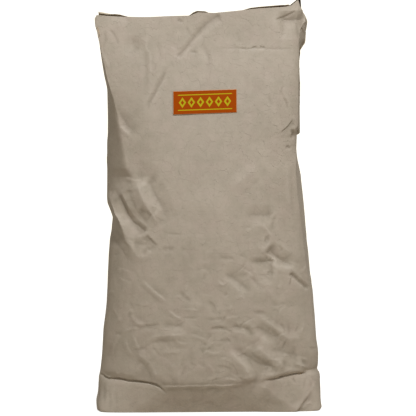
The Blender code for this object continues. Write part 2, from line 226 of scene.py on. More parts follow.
# %% Random numbers and soft undulation
# The patterns count every girth line as this many metres of paper, whatever its own length.
GIRTH = 1.38


def scatter(*cells, seed):
    """A repeatable random number from 0 to 1 for every whole-numbered cell: an integer hash."""
    mixed = np.full(np.shape(cells[0]), seed * 7919 + 101, dtype=np.uint64)
    for cell, prime in zip(cells, (73856093, 19349663, 83492791)):
        mixed ^= (np.asarray(cell).astype(np.int64).astype(np.uint64) * np.uint64(prime))
        mixed = (mixed ^ (mixed >> np.uint64(13))) * np.uint64(1274126177)
        mixed &= np.uint64(0xFFFFFFFFFF)
    mixed ^= mixed >> np.uint64(16)
    return (mixed & np.uint64(0xFFFFF)).astype(np.float64) / float(0xFFFFF)


def undulation(points, size, seed):
    """Soft noise from -1 to 1: random values on a cubic lattice, blended with an S-shaped step."""
    scaled = points / size
    cell = np.floor(scaled)
    t = scaled - cell
    t = t * t * (3.0 - 2.0 * t)
    total = np.zeros(points.shape[:-1])
    for corner in np.ndindex(2, 2, 2):
        weight = np.prod(np.where(corner, t, 1.0 - t), axis=-1)
        total += weight * scatter(*np.moveaxis(cell + corner, -1, 0), seed=seed)
    return 2.0 * total - 1.0


# %% Facets and dishes
def triangle_net(along, up, size, seed):
    """Flat facets from -1 to 1: random heights at the corners of a net of triangles.

    Each square of the net is cut along one diagonal, in turn the one and the other, and the
    height is linear inside each half.
    """
    count = max(int(round(GIRTH / size)), 1)
    a = along * count / GIRTH
    b = up / size
    i, j = np.floor(a), np.floor(b)
    s, t = a - i, b - j
    flip = (i + j) % 2 > 0.5
    s = np.where(flip, 1.0 - s, s)
    near, far = np.where(flip, i + 1, i), np.where(flip, i, i + 1)
    corner = [scatter(np.mod(x, count), y, seed=seed) for x in (near, far) for y in (j, j + 1)]
    low = corner[0] + (corner[2] - corner[0]) * s + (corner[1] - corner[0]) * t
    high = corner[3] + (corner[1] - corner[3]) * (1.0 - s) + (corner[2] - corner[3]) * (1.0 - t)
    return 2.0 * np.where(s + t < 1.0, low, high) - 1.0


def dishes(along, up, size, seed):
    """Shallow dishes that meet in sharp ridges, from 0 up to about 1.

    The height is the smallest of the squared distances to nearby scattered points, each point
    with its own head start, so that the dishes differ in size.
    """
    count = max(int(round(GIRTH / size)), 1)
    a = along * count / GIRTH
    b = up / size
    i, j = np.floor(a), np.floor(b)
    least = np.full(np.shape(a), 9.0)
    for di in (-1, 0, 1):
        for dj in (-1, 0, 1):
            ci, cj = i + di, j + dj
            wrapped = np.mod(ci, count)
            px = ci + scatter(wrapped, cj, seed=seed)
            py = cj + scatter(wrapped, cj, seed=seed + 1)
            start = 0.35 * scatter(wrapped, cj, seed=seed + 2)
            least = np.minimum(least, (a - px) ** 2 + (b - py) ** 2 + start)
    return least


# %% [markdown]
# ## Folds where the real sack has them
#
# The folds that give this sack its face are placed one by one. A fold is a path, a height and two
# widths: along the path the paper stands out or is pressed in, and it falls away to nothing on the
# two sides, steeply on one and gently on the other. The paths are marked as they are seen from the
# camera on an upright sheet through the middle of the sack, in millimetres right of the middle and
# above a level line 15 mm under the floor, because that is how a person would trace them.

# %% The shape of one fold
def ease(x, low, high):
    """An S-shaped step from 0 at low to 1 at high."""
    t = np.clip((x - low) / (high - low), 0.0, 1.0)
    return t * t * (3.0 - 2.0 * t)


STEPS_PER_STRETCH = 5


def rounded_path(path):
    """A smooth path through given points: each stretch follows the slopes of its neighbours."""
    p = np.array(path, dtype=float)
    if len(p) < 3:
        return p
    tangent = np.gradient(p, axis=0)
    t = np.linspace(0.0, 1.0, STEPS_PER_STRETCH, endpoint=False)[:, None]
    stretches = []
    for k in range(len(p) - 1):
        blend = (2 * t ** 3 - 3 * t ** 2 + 1) * p[k] + (3 * t ** 2 - 2 * t ** 3) * p[k + 1]
        lean = (t ** 3 - 2 * t ** 2 + t) * tangent[k] + (t ** 3 - t ** 2) * tangent[k + 1]
        stretches.append(blend + lean)
    return np.vstack(stretches + [p[-1:]])


def fold(seen, path, height, left, right, swells, dies):
    """How far one fold pushes the paper out, in millimetres, at each seen place.

    With d the distance from the path and w the width on that side, the height across the fold is
    the whole height times 1 - d / w. left and right are the widths on the two hands of a walker
    along the path, and swells and dies the shares of it over which the fold grows and dies away.
    """
    line = rounded_path(path)
    widest = max(left, right)
    low, high = line.min(axis=0) - widest, line.max(axis=0) + widest
    near = np.all((seen > low) & (seen < high), axis=-1)
    place_at = seen[near]
    lengths = np.hypot(*np.diff(line, axis=0).T)
    whole = lengths.sum()
    best = np.full(len(place_at), 1e9)
    share = np.zeros(len(place_at))
    side = np.zeros(len(place_at))
    walked = 0.0
    for start, end, length in zip(line[:-1], line[1:], lengths):
        step = (end - start) / length
        offset = place_at - start
        along = np.clip(offset @ step, 0.0, length)
        away = np.hypot(*(offset - along[:, None] * step).T)
        closer = away < best
        best = np.where(closer, away, best)
        share = np.where(closer, (walked + along) / whole, share)
        side = np.where(closer, step[0] * offset[:, 1] - step[1] * offset[:, 0], side)
        walked += length
    width = np.where(side > 0.0, left, right)
    across = np.clip(1.0 - best / width, 0.0, 1.0)
    swell = ease(share, 0.0, swells) * (1.0 - ease(share, 1.0 - dies, 1.0))
    pushed = np.zeros(seen.shape[:-1])
    pushed[near] = height * across * swell
    return pushed


# %% The folds of the front
# Each line: path, height in mm (less than nothing is pressed in), width on the left hand, width on
# the right hand, then the percentages of the length over which the fold swells and dies away.
TOP_FOLDS = (
    # The slanting valley under the top edge and the nip at its lower end.
    ([(32, 999), (7, 982), (-15, 965), (-33, 945), (-50, 922)], -3.2, 18, 18, 10, 50),
    ([(0, 975), (-33, 944), (-50, 922), (-77, 889)], -2.6, 8, 11, 40, 10),
    # The line that carries it on down to the left.
    ([(-98, 880), (-108, 850), (-128, 812), (-146, 775), (-153, 748)], -2.2, 5, 10, 40, 30),
    # Small marks beside it.
    ([(-50, 906), (-22, 902)], -1.1, 6, 5, 40, 40),
    ([(-97, 915), (-84, 908), (-76, 902)], 0.7, 5, 5, 40, 40),
    ([(-88, 905), (-76, 908), (-68, 916)], -0.6, 4, 4, 40, 40),
    ([(-20, 935), (-5, 905), (2, 880), (4, 845)], -1.3, 10, 10, 40, 50),
    ([(-78, 990), (-70, 982), (-60, 976)], -1.2, 6, 5, 30, 40),
    ([(-57, 972), (-50, 955), (-45, 940)], -0.8, 6, 6, 40, 40),
    # The upright lumpy crease, the soft line beside it and the broad hollow on its left.
    ([(-140, 972), (-150, 945), (-155, 920), (-147, 892), (-145, 850), (-145, 790)],
     0.7, 6, 7, 30, 50),
    ([(-154, 925), (-158, 900), (-154, 850), (-152, 790)], -0.8, 10, 10, 30, 40),
    ([(-196, 948), (-182, 922), (-164, 900)], -2.4, 26, 30, 40, 40),
    ([(-126, 935), (-120, 900), (-112, 870)], -0.8, 12, 14, 40, 40),
    # The left ear.
    ([(-256, 958), (-240, 955), (-228, 935), (-224, 915)], -0.9, 5, 6, 30, 40),
    ([(-262, 962), (-256, 940), (-262, 915), (-252, 890)], -0.9, 6, 6, 30, 40),
    ([(-262, 905), (-255, 880), (-244, 850)], 0.9, 7, 7, 40, 40),
    # The hollow under the right ear.
    ([(166, 987), (205, 987), (243, 988)], -9.5, 22, 50, 35, 5),
    ([(167, 985), (185, 992), (206, 1002), (220, 1008)], -1.8, 4, 5, 20, 10),
    # The fold line of the top block, and the sharp nips on it.
    ([(5, 915), (90, 915), (155, 912), (226, 914)], -0.7, 4, 4, 40, 20),
    ([(107, 915), (122, 916)], -1.4, 3.5, 5, 30, 30),
    ([(127, 917), (144, 915)], -1.6, 3.5, 5, 30, 30),
    ([(78, 915), (96, 915)], -0.7, 3, 5, 30, 30),
    # Faint upright lines on the upper part.
    ([(70, 960), (78, 920)], -0.5, 8, 8, 40, 40),
    ([(95, 860), (100, 800)], -0.5, 10, 10, 40, 40),
    # The slack paper at the right edge under the fold line.
    ([(186, 796), (196, 776), (200, 758)], -1.4, 4, 5, 30, 30),
    ([(190, 822), (184, 804), (190, 790)], -0.9, 4, 5, 30, 30),
    ([(150, 800), (156, 778), (166, 768)], -0.7, 7, 6, 30, 30),
    ([(232, 915), (216, 880), (204, 845), (200, 800), (204, 740)], 1.6, 34, 22, 20, 30),
)
WAIST_FOLDS = (
    # The soft hollow beside the left facet and the small ridge at its foot.
    ([(-232, 775), (-218, 745), (-196, 715), (-170, 692)], -3, 20, 16, 40, 40),
    ([(-222, 722), (-208, 706), (-192, 698)], 1.6, 9, 9, 30, 40),
    # The upper slanting ridge and the valley on its right.
    ([(-184, 588), (-172, 560), (-158, 527), (-140, 500), (-122, 472)], 6.5, 32, 26, 22, 30),
    ([(-158, 590), (-140, 565), (-125, 535), (-112, 505), (-92, 472)], -4, 32, 28, 15, 30),
    ([(-210, 592), (-198, 585), (-180, 583), (-165, 586)], 1.0, 5, 6, 30, 30),
    ([(-186, 598), (-152, 595), (-124, 578)], -2.2, 34, 22, 30, 30),
    # The deep valley between the two ridges, and the lower one.
    ([(-234, 572), (-230, 556), (-221, 534), (-208, 510), (-193, 488), (-183, 476), (-169, 466),
      (-154, 452)], -6, 12, 34, 28, 10),
    ([(-246, 540), (-243, 520), (-238, 500), (-227, 480), (-209, 446), (-193, 420), (-172, 390),
      (-152, 370)], 7, 36, 24, 50, 40),
    # The facets where they run out.
    ([(-178, 512), (-155, 504), (-137, 492)], -3.2, 24, 30, 35, 20),
    ([(-156, 448), (-138, 430), (-122, 416)], -2.6, 6, 14, 15, 45),
    ([(-194, 426), (-165, 424), (-128, 420)], -4, 20, 30, 25, 45),
    ([(-168, 398), (-148, 412), (-125, 416)], -1.4, 9, 12, 30, 30),
    ([(-110, 451), (-60, 448)], -0.9, 6, 6, 40, 40),
    ([(22, 393), (70, 388)], -1.1, 8, 8, 30, 30),
    ([(-120, 414), (-78, 412)], -1.2, 8, 10, 30, 40),
    # The right side of the waist.
    ([(214, 738), (200, 720), (180, 700)], -3.6, 16, 4, 25, 35),
    ([(206, 718), (212, 700), (206, 684)], -3.4, 6, 6, 40, 40),
    ([(192, 668), (208, 662)], -2.6, 7, 5, 40, 40),
    ([(196, 640), (199, 560), (207, 490)], 1.4, 10, 12, 30, 40),
    ([(45, 548), (90, 590), (135, 632)], 2.4, 26, 26, 40, 40),
    ([(88, 500), (130, 497), (166, 498)], -4, 27, 26, 40, 20),
    ([(171, 500), (165, 480), (158, 452)], -1.6, 10, 10, 30, 40),
    ([(130, 478), (148, 458), (166, 434)], 1.2, 5, 6, 30, 40),
)
LOWER_FOLDS = (
    # The pinched hollow on the right and the creases that run out of it.
    ([(146, 416), (178, 390), (212, 367)], -8, 27, 24, 20, 30),
    ([(178, 424), (190, 408)], -1.2, 5, 5, 30, 40),
    ([(96, 381), (134, 380), (170, 380)], -3.6, 13, 60, 40, 20),
    ([(112, 382), (140, 380), (172, 381)], -6, 26, 70, 60, 25),
    ([(136, 402), (158, 393), (178, 377)], 1.5, 5, 6, 30, 30),
    ([(150, 390), (166, 384)], 1.2, 4, 5, 30, 30),
    ([(138, 434), (156, 433)], -2, 13, 12, 40, 40),
    ([(112, 372), (113, 345), (125, 322), (150, 312), (170, 318)], -1.1, 11, 9, 30, 30),
    ([(170, 372), (200, 362), (232, 352)], 2.4, 14, 15, 30, 40),
    ([(200, 351), (222, 338), (245, 319), (253, 311)], -4.4, 9, 7, 20, 15),
    ([(210, 342), (203, 316)], -1.4, 4, 5, 20, 40),
    ([(34, 358), (65, 339), (96, 313), (114, 296)], -4.6, 34, 15, 35, 38),
    ([(78, 368), (98, 360), (112, 348)], -1.8, 15, 26, 40, 40),
    # The long light ridge on the left and the small lines beside it.
    ([(-166, 339), (-145, 315), (-120, 292), (-100, 273)], 1.7, 5, 10, 25, 30),
    ([(-100, 260), (-80, 242), (-62, 238)], 1.5, 5, 7, 30, 30),
    ([(-68, 240), (-18, 241)], -0.8, 4, 5, 30, 40),
    ([(-70, 263), (-15, 258)], 0.8, 4, 5, 30, 40),
    ([(-76, 308), (-58, 292), (-38, 281)], -1.4, 8, 9, 30, 40),
    ([(-178, 268), (-192, 250), (-180, 232), (-152, 222)], 1.0, 9, 9, 30, 30),
    ([(-206, 253), (-186, 246)], -1.1, 13, 13, 40, 40),
    ([(-190, 232), (-172, 226), (-154, 229)], 0.9, 13, 11, 40, 40),
    ([(-180, 215), (-145, 220), (-110, 227)], -1.0, 7, 12, 30, 40),
    ([(-120, 226), (-92, 222), (-50, 216)], -1.8, 14, 14, 30, 30),
    # The two broad creases on the left, and the ridge that runs down to the bottom block.
    ([(-150, 190), (-105, 196), (-52, 200)], 2.2, 20, 14, 30, 30),
    ([(-176, 160), (-150, 172), (-116, 183), (-86, 186)], -1.8, 11, 28, 30, 40),
    ([(-184, 156), (-157, 138), (-138, 114), (-128, 90), (-120, 66)], 3, 62, 13, 22, 30),
    # The big creases above the right end of the bottom block.
    ([(50, 218), (92, 214), (118, 190)], -2.8, 12, 12, 30, 30),
    ([(110, 221), (150, 203), (190, 180)], -3.4, 16, 20, 30, 30),
    ([(120, 250), (150, 228), (185, 205), (205, 198)], 2.4, 13, 10, 35, 35),
    ([(165, 205), (200, 192), (236, 190)], 3, 24, 14, 30, 30),
    ([(146, 162), (187, 155), (240, 142)], -5.5, 26, 38, 35, 30),
    ([(112, 174), (150, 144), (192, 116)], 5, 44, 20, 25, 20),
    ([(52, 169), (92, 146), (135, 122), (180, 116)], -4, 18, 22, 30, 15),
    ([(44, 160), (78, 134), (98, 106), (112, 80)], 4, 18, 22, 30, 15),
    # Wrinkles.
    ([(0, 213), (62, 215)], -1.4, 7, 8, 30, 40),
    ([(24, 183), (62, 185)], -1.2, 5, 7, 30, 40),
    ([(-14, 236), (52, 239)], -0.9, 6, 6, 40, 40),
    ([(182, 232), (192, 204)], -0.8, 5, 5, 40, 30),
    ([(203, 230), (204, 200)], -0.7, 4, 5, 40, 30),
    ([(230, 230), (216, 200)], -0.9, 5, 5, 40, 30),
    ([(196, 186), (184, 156)], -1, 4, 4, 30, 30),
    ([(212, 132), (232, 122), (252, 118)], 1.4, 5, 6, 30, 30),
    ([(226, 146), (252, 134)], 1.2, 5, 6, 30, 30),
    ([(40, 90), (76, 85)], 1.4, 5, 5, 30, 30),
)
BASE_FOLDS = (
    # The slits above the two corners of the bottom block, and the light line between them.
    ([(-270, 103), (-252, 93), (-220, 86), (-170, 81), (-145, 77), (-120, 68), (-95, 47)],
     -4.8, 3.3, 4.3, 2, 30),
    ([(132, 83), (150, 86), (180, 93), (212, 100), (248, 104)], -3.4, 2.8, 3.6, 40, 6),
    ([(-128, 70), (0, 71), (60, 73), (110, 79)], 1.5, 3.4, 10, 15, 20),
    # The slack paper that hangs over the two slits.
    ([(-264, 112), (-220, 102), (-165, 96)], 1.4, 45, 9, 10, 30),
    ([(135, 92), (190, 105), (244, 114)], 4.5, 70, 9, 35, 15),
    # The slanting edges of the corner flaps.
    ([(116, 80), (168, 48), (230, 6)], 8, 80, 62, 22, 8),
    ([(-104, 70), (-145, 40), (-186, 10)], 2.5, 30, 60, 25, 35),
    # Small pleats on the corners.
    ([(232, 10), (246, 22), (266, 32)], 1.6, 7, 6, 20, 40),
    ([(212, 92), (219, 74)], -1.2, 4, 5, 20, 40),
    ([(243, 96), (236, 60)], -0.8, 8, 6, 40, 40),
    ([(262, 92), (250, 40)], -1.0, 7, 9, 40, 40),
    ([(-264, 78), (-257, 14)], -0.9, 8, 7, 30, 40),
    ([(-248, 70), (-243, 10)], -0.7, 6, 9, 40, 40),
    ([(-232, 60), (-226, 20)], -0.6, 7, 7, 40, 40),
)
FRONT_FOLDS = TOP_FOLDS + WAIST_FOLDS + LOWER_FOLDS + BASE_FOLDS

# %% The folds of the back and of the two narrow sides
# The back is marked as it is seen from behind, and each side as it is seen square on from outside.
BACK_FOLDS = (
    ([(-60, 985), (-30, 958), (15, 930), (70, 905)], -5, 16, 7, 10, 50),
    ([(-62, 988), (-42, 968), (-18, 948)], -4, 26, 5, 15, 60),
    ([(-210, 975), (-185, 935), (-160, 880)], -3.5, 14, 20, 20, 50),
    ([(150, 975), (158, 945), (150, 890), (165, 840)], -2.5, 7, 6, 20, 50),
    ([(-225, 912), (-100, 915), (60, 911), (225, 913)], -1, 6, 6, 10, 10),
    ([(228, 690), (200, 650), (165, 615), (120, 595)], 7, 12, 26, 20, 50),
    ([(225, 640), (190, 600), (150, 540), (120, 515)], -6, 16, 20, 25, 40),
    ([(-228, 560), (-190, 520), (-150, 460), (-120, 440)], 8, 26, 11, 20, 40),
    ([(-225, 505), (-190, 465), (-160, 410)], -5, 20, 12, 25, 40),
    ([(-120, 520), (-60, 500), (0, 510)], 3, 24, 10, 40, 40),
    ([(-60, 640), (10, 600), (60, 520)], 2.4, 26, 26, 40, 40),
    ([(60, 380), (110, 350), (170, 340)], -4, 20, 8, 30, 40),
    ([(100, 300), (150, 270), (225, 255)], 4, 18, 10, 30, 30),
    ([(-150, 330), (-110, 290), (-90, 240)], -3, 8, 16, 30, 40),
    ([(-60, 250), (0, 235), (70, 240)], -3, 18, 8, 30, 40),
    ([(-225, 215), (-180, 190), (-130, 150)], -5, 18, 12, 25, 30),
    ([(-215, 160), (-160, 135), (-110, 100)], 5, 26, 12, 20, 20),
    ([(70, 190), (130, 165), (180, 125)], 4, 20, 12, 30, 30),
    ([(-268, 103), (-200, 92), (-120, 82), (-90, 55)], -6, 3.5, 7, 2, 40),
    ([(100, 79), (160, 83), (210, 92), (262, 104)], -6, 3.5, 7, 40, 2),
    ([(120, 78), (175, 38), (225, 12)], 4, 44, 24, 10, 10),
    ([(-115, 72), (-160, 35), (-190, 12)], 3, 24, 44, 10, 10),
)
LEFT_FOLDS = (
    ([(0, 970), (6, 900), (-4, 800), (4, 700)], -6, 24, 24, 5, 40),
    ([(50, 700), (10, 650), (-40, 610)], 2.5, 18, 10, 30, 30),
    ([(-55, 560), (-5, 520), (50, 505)], -4, 14, 18, 20, 20),
    ([(-60, 460), (0, 440), (55, 400)], 2.5, 16, 16, 30, 30),
    ([(-20, 330), (10, 260), (0, 180), (5, 120)], -3, 24, 24, 30, 20),
    ([(-70, 10), (-2, 96)], -3, 12, 10, 10, 10),
    ([(70, 10), (2, 96)], -3, 10, 12, 10, 10),
)
RIGHT_FOLDS = (
    ([(0, 965), (-5, 900), (6, 820), (0, 740)], -5, 24, 24, 5, 30),
    ([(-60, 735), (0, 690), (55, 660)], -4, 16, 14, 20, 20),
    ([(50, 640), (5, 600), (-50, 590)], 2.5, 12, 18, 30, 30),
    ([(-50, 500), (0, 450), (45, 440)], 2, 18, 14, 30, 30),
    ([(-55, 340), (-10, 320), (40, 280)], -3, 14, 14, 20, 30),
    ([(5, 260), (-8, 190), (2, 120)], -3, 22, 24, 30, 20),
    ([(-70, 10), (-2, 98)], -3, 12, 10, 10, 10),
    ([(70, 10), (2, 98)], -3, 10, 12, 10, 10),
)


# %% Normals of a closed grid
def grid_normals(grid):
    """Unit normals of a grid that closes round the girth: the cross product of its two slopes."""
    around = np.roll(grid, -1, axis=1) - np.roll(grid, 1, axis=1)
    up = np.gradient(grid, axis=0)
    normal = np.cross(around, up)
    return normal / np.maximum(np.linalg.norm(normal, axis=2, keepdims=True), 1e-12)


# %% Where each point is seen
EYE_DISTANCE = 4.0
EYE_HEIGHT = 0.500
EYE_TURN = np.radians(3.0)
EYE_SIDE = 0.001
VIEW_WIDTH = 1.04
# Heights of the marked folds count from this level, a little under the floor.
PICTURE_FOOT = -0.015


def place(points):
    """Moves points from the sack's own middle to the frame's middle."""
    return points + np.array([SHIFT_X, 0.0, 0.0])


def seen_from_eye(points):
    """Millimetres across and up, on the upright sheet through the middle of the sack.

    A point is carried along the line from the eye until it meets the sheet that the eye looks at
    squarely: across and up grow by the eye's distance over the point's own distance.
    """
    eye = np.array([EYE_SIDE - EYE_DISTANCE * np.sin(EYE_TURN), -EYE_DISTANCE * np.cos(EYE_TURN)])
    right = np.array([np.cos(EYE_TURN), -np.sin(EYE_TURN)])
    ahead = np.array([np.sin(EYE_TURN), np.cos(EYE_TURN)])
    flat = points[..., :2] - eye
    scale = EYE_DISTANCE / (flat @ ahead)
    across = (flat @ right) * scale
    up = EYE_HEIGHT + (points[..., 2] - EYE_HEIGHT) * scale - PICTURE_FOOT
    return np.stack([across, up], axis=-1) / MM


def sum_of_folds(seen, folds):
    """All folds of one face, in millimetres."""
    total = np.zeros(seen.shape[:-1])
    for path, height, left, right, swells, dies in folds:
        total += fold(seen, path, height, left, right, swells / 100, dies / 100)
    return total


# %% Turn the right edge of the paper into a flat facet
# Height above the floor, then how far right the facet's upright crease runs.
RIGHT_FACET = (
    (0.315, 0.246), (0.345, 0.239), (0.375, 0.234), (0.420, 0.228), (0.470, 0.221),
    (0.515, 0.2145), (0.575, 0.2105), (0.635, 0.2125), (0.685, 0.216), (0.785, 0.217),
    (0.865, 0.2200), (0.891, 0.2190), (0.906, 0.2215), (0.926, 0.2310), (0.951, 0.2370),
)
# It fades in over the first length above its foot, and out from the second one below its top to
# the third one above it.
FACET_FADES = (0.025, 0.010, 0.015)
left_half = np.arange(0, FRONT_COLUMNS // 2)
right_half = np.arange(FRONT_COLUMNS // 2, FRONT_COLUMNS + 1)


def flatten_right_side(grid):
    """Flattens the paper between the facet's crease on the front and the right side of the sack.

    On each row the curved stretch is replaced by its chord, the straight line between the crease
    and the side. The change fades in above the foot of the crease and out about its top.
    """
    foot, top = RIGHT_FACET[0][0], RIGHT_FACET[-1][0]
    for row in grid:
        side_x, _, z = row[FRONT_COLUMNS]
        weight = ease(z, foot, foot + FACET_FADES[0])
        weight *= 1.0 - ease(z, top - FACET_FADES[1], top + FACET_FADES[2])
        if weight <= 0.0:
            continue
        x, y = row[right_half, 0], row[right_half, 1]
        crease = piece_of_line(z, RIGHT_FACET)
        chord = np.interp(crease, x, y) * (x - side_x) / (crease - side_x)
        row[right_half, 1] = np.where(x > crease, y + weight * (chord - y), y)
    return grid


# %% Draw the left edge of the paper out to crests
# Two crests on the left edge of the front, one of the folded waist and one of the upper sack: height
# above the floor, then the crest's x and y, then the x where the flat paper beside it ends.
WAIST_CREST = (
    (0.385, -0.1840, -0.1050, -0.1330), (0.420, -0.2020, -0.0955, -0.1500),
    (0.466, -0.2235, -0.0866, -0.1766), (0.488, -0.2360, -0.0790, -0.1924),
    (0.512, -0.2438, -0.0780, -0.2065), (0.522, -0.2462, -0.0775, -0.2136),
    (0.530, -0.2470, -0.0775, -0.2190),
)
UPPER_CREST = (
    (0.508, -0.2450, -0.0600, -0.2200), (0.522, -0.2360, -0.0690, -0.2000),
    (0.544, -0.2070, -0.0925, -0.1700), (0.562, -0.1950, -0.0980, -0.1500),
    (0.576, -0.1950, -0.0970, -0.1500), (0.597, -0.2080, -0.0935, -0.1500),
    (0.641, -0.2165, -0.0900, -0.1530), (0.690, -0.2250, -0.0860, -0.1560),
    (0.720, -0.2305, -0.0850, -0.1600), (0.758, -0.2395, -0.0850, -0.1680),
    (0.788, -0.2480, -0.0860, -0.1750), (0.824, -0.2570, -0.0850, -0.1800),
    (0.866, -0.2650, -0.0825, -0.1850), (0.915, -0.2750, -0.0790, -0.1950),
    (0.947, -0.2822, -0.0760, -0.2000), (0.970, -0.2850, -0.0740, -0.2100),
)
# Heights between which the rounded crest turns into the sharp fold of the ear.
EAR_FADE = (0.800, 0.880)


def drawn_out(grid, crest, fades, swell, reach):
    """Draws the left half of the front out to a crest near its edge.

    From the side of the sack to the crest the paper climbs by the share of the way to the power of
    swell, and from the crest to the end of its flat stretch it runs straight. A mean over reach
    points on both hands rounds the crest. Towards the ear both give way to a straight, sharp fold.
    The change fades in and out between the given heights.
    """
    lines = [[(c[0], c[k]) for c in crest] for k in (1, 2, 3)]
    for row in range(grid.shape[0]):
        x, y, z = grid[row, left_half].T
        weight = ease(z, fades[0], fades[1]) * (1.0 - ease(z, fades[2], fades[3]))
        if weight.max() <= 0.0:
            continue
        crest_x, crest_y, end_x = (piece_of_line(z, line) for line in lines)
        end_y = np.interp(end_x, x, y)
        share = np.clip((x - x[0]) / (crest_x - x[0]), 0.0, 1.0)
        below_ear = 1.0 - ease(z, *EAR_FADE)
        beside = crest_y * share ** (1.0 - (1.0 - swell) * below_ear)
        flat = crest_y + (end_y - crest_y) * (x - crest_x) / (end_x - crest_x)
        drawn = np.where(x < crest_x, beside, np.where(x < end_x, flat, y))
        window = np.full(2 * reach + 1, 1.0 / (2 * reach + 1))
        rounded = np.convolve(drawn, window, mode="valid")
        drawn[reach:-reach] += below_ear[reach:-reach] * (rounded - drawn[reach:-reach])
        grid[row, left_half, 1] = y + weight * (drawn - y)
    return grid


skin = flatten_right_side(skin)
skin = drawn_out(skin, WAIST_CREST, fades=(0.400, 0.455, 0.476, 0.530), swell=1.0, reach=1)
skin = drawn_out(skin, UPPER_CREST, fades=(0.512, 0.545, 1.000, 1.010), swell=0.60, reach=3)

# %% [markdown]
# ## From many folds to one relief
#
# All folds, crumples and wrinkles add up to one number at each point of the grid: how far the paper
# moves along its normal. It is weaker beside the outline, which keeps the edges near the curves
# above. Where the relief stands out of its own mean the paper is worn pale, and where it lies deeper
# the paper is painted darker as shade, so the same numbers also drive the finish.

# %% Press the folds and the crumples into the skin
# Size of the waver of a fold's path, how many millimetres it strays, and two seeds.
RAGGED = ((0.028, 2.0, (41, 42)), (0.009, 0.8, (43, 44)))
# How far a face's normal has turned where its folds fade in, for the broad and the narrow faces.
BROAD_FACE = (0.05, 0.35)
NARROW_FACE = (0.45, 0.85)


def all_folds(grid, normal):
    """The listed folds of the four faces, in millimetres, each fading where its face turns."""
    up = (grid[..., 2] - PICTURE_FOOT) / MM
    ragged = 0.0
    for size, strays, seeds in RAGGED:
        ragged = ragged + np.stack([undulation(grid, size, seed) for seed in seeds], axis=-1) * strays
    across = grid[..., 0] / MM
    deep = grid[..., 1] / MM
    faces = (
        (ease(-normal[..., 1], *BROAD_FACE), seen_from_eye(place(grid)), FRONT_FOLDS),
        (ease(normal[..., 1], *BROAD_FACE), np.stack([-across, up], axis=-1), BACK_FOLDS),
        (ease(-normal[..., 0], *NARROW_FACE), np.stack([-deep, up], axis=-1), LEFT_FOLDS),
        (ease(normal[..., 0], *NARROW_FACE), np.stack([deep, up], axis=-1), RIGHT_FOLDS),
    )
    pushed = np.zeros(grid.shape[:2])
    for mask, seen, folds in faces:
        pushed += mask * sum_of_folds(seen + ragged, folds)
    return pushed


def beside_the_outline(normal):
    """1 on the faces and down to 0.35 where the paper turns sideways, which keeps the outline."""
    return 1.0 - 0.65 * ease(np.abs(normal[..., 0]), 0.75, 1.0)


# The middle of the taut paper round the label: metres round the girth, then up.
TAUT = (0.33, 0.785)
# How far the patterns waver, and over what length.
WAVER = (0.011, 0.10)
# Depth in millimetres and size of the soft undulation, the dishes and the two nets of facets.
SOFT = (2.2, 0.150)
DISHES = (1.6, 0.095)
BROAD_FACETS = (2.2, 0.085)
SMALL_FACETS = (0.95, 0.033)


def metres_round(grid):
    """How far round the girth each point of a grid lies."""
    return girth_shares()[None, :] * GIRTH + np.zeros(grid.shape[:2])


def crumples(grid):
    """Undulation, facets and dishes in millimetres, calmer on the taut paper round the label."""
    along = metres_round(grid)
    up = grid[..., 2]
    bent = along + WAVER[0] * undulation(grid, WAVER[1], 5)
    lifted = up + WAVER[0] * undulation(grid, WAVER[1], 6)
    calm = ease(np.hypot(along - TAUT[0], (up - TAUT[1]) * 0.9), 0.05, 0.30)
    slack = (0.20 + 0.80 * calm) * (0.40 + 0.60 * (1.0 - ease(up, 0.315, 0.605)))
    total = SOFT[0] * undulation(grid, SOFT[1], 1)
    total += slack * BROAD_FACETS[0] * triangle_net(bent, lifted, BROAD_FACETS[1], 11)
    total += slack * DISHES[0] * (dishes(bent, lifted, DISHES[1], 21) - 0.4)
    total += slack * SMALL_FACETS[0] * triangle_net(bent + 0.3, lifted, SMALL_FACETS[1], 12)
    return total * ease(up, 0.0, 0.03)


# %% Fine wrinkles
WRINKLES = 520
SEAM_MARGIN = 0.05
BLOCK_TOP = 0.075


def fine_wrinkles(grid):
    """Hundreds of short sharp creases in millimetres, close together where the sack is slack.

    A crease is wanted at a random place of the paper, and is kept when a further random number is
    below the density there: high in the lower third, low on the taut paper round the label. Its
    path runs level or slantwise, bends once, and has a steep and a gentle side. The creases are
    tallest between the bottom block and the waist.
    """
    seen = np.stack([metres_round(grid), grid[..., 2]], axis=-1) / MM
    draw = np.random.default_rng(24)
    total = np.zeros(grid.shape[:2])
    kept = 0
    while kept < WRINKLES:
        a = draw.uniform(SEAM_MARGIN, GIRTH - SEAM_MARGIN)
        z = draw.uniform(0.02, 0.955)
        low = float(1.0 - ease(z, 0.305, 0.505))
        calm = float(ease(np.hypot(a - TAUT[0], z - TAUT[1]), 0.08, 0.30))
        wanted = draw.uniform()
        lean = draw.choice([-42.0, -20.0, 0.0, 8.0, 38.0, 62.0]) + draw.normal(0.0, 11.0)
        length = draw.uniform(14.0, 60.0) * (0.6 + 0.4 * low)
        bend = draw.normal(0.0, 0.13) * length
        tall = draw.choice([-1.0, 1.0]) * draw.uniform(0.22, 0.75)
        tall *= 0.52 + 0.88 * low * (z > BLOCK_TOP)
        steep, gentle = draw.uniform(2.5, 5.0), draw.uniform(5.0, 15.0)
        if draw.uniform() < 0.5:
            steep, gentle = gentle, steep
        if wanted > 0.10 + 0.10 * calm + 0.80 * low:
            continue
        kept += 1
        turn = np.array([np.cos(np.radians(lean)), np.sin(np.radians(lean))])
        side = np.array([-turn[1], turn[0]])
        middle = np.array([a, z]) / MM
        path = [middle - turn * length / 2.0, middle + side * bend, middle + turn * length / 2.0]
        total += fold(seen, path, tall, steep, gentle, 0.35, 0.35)
    return total


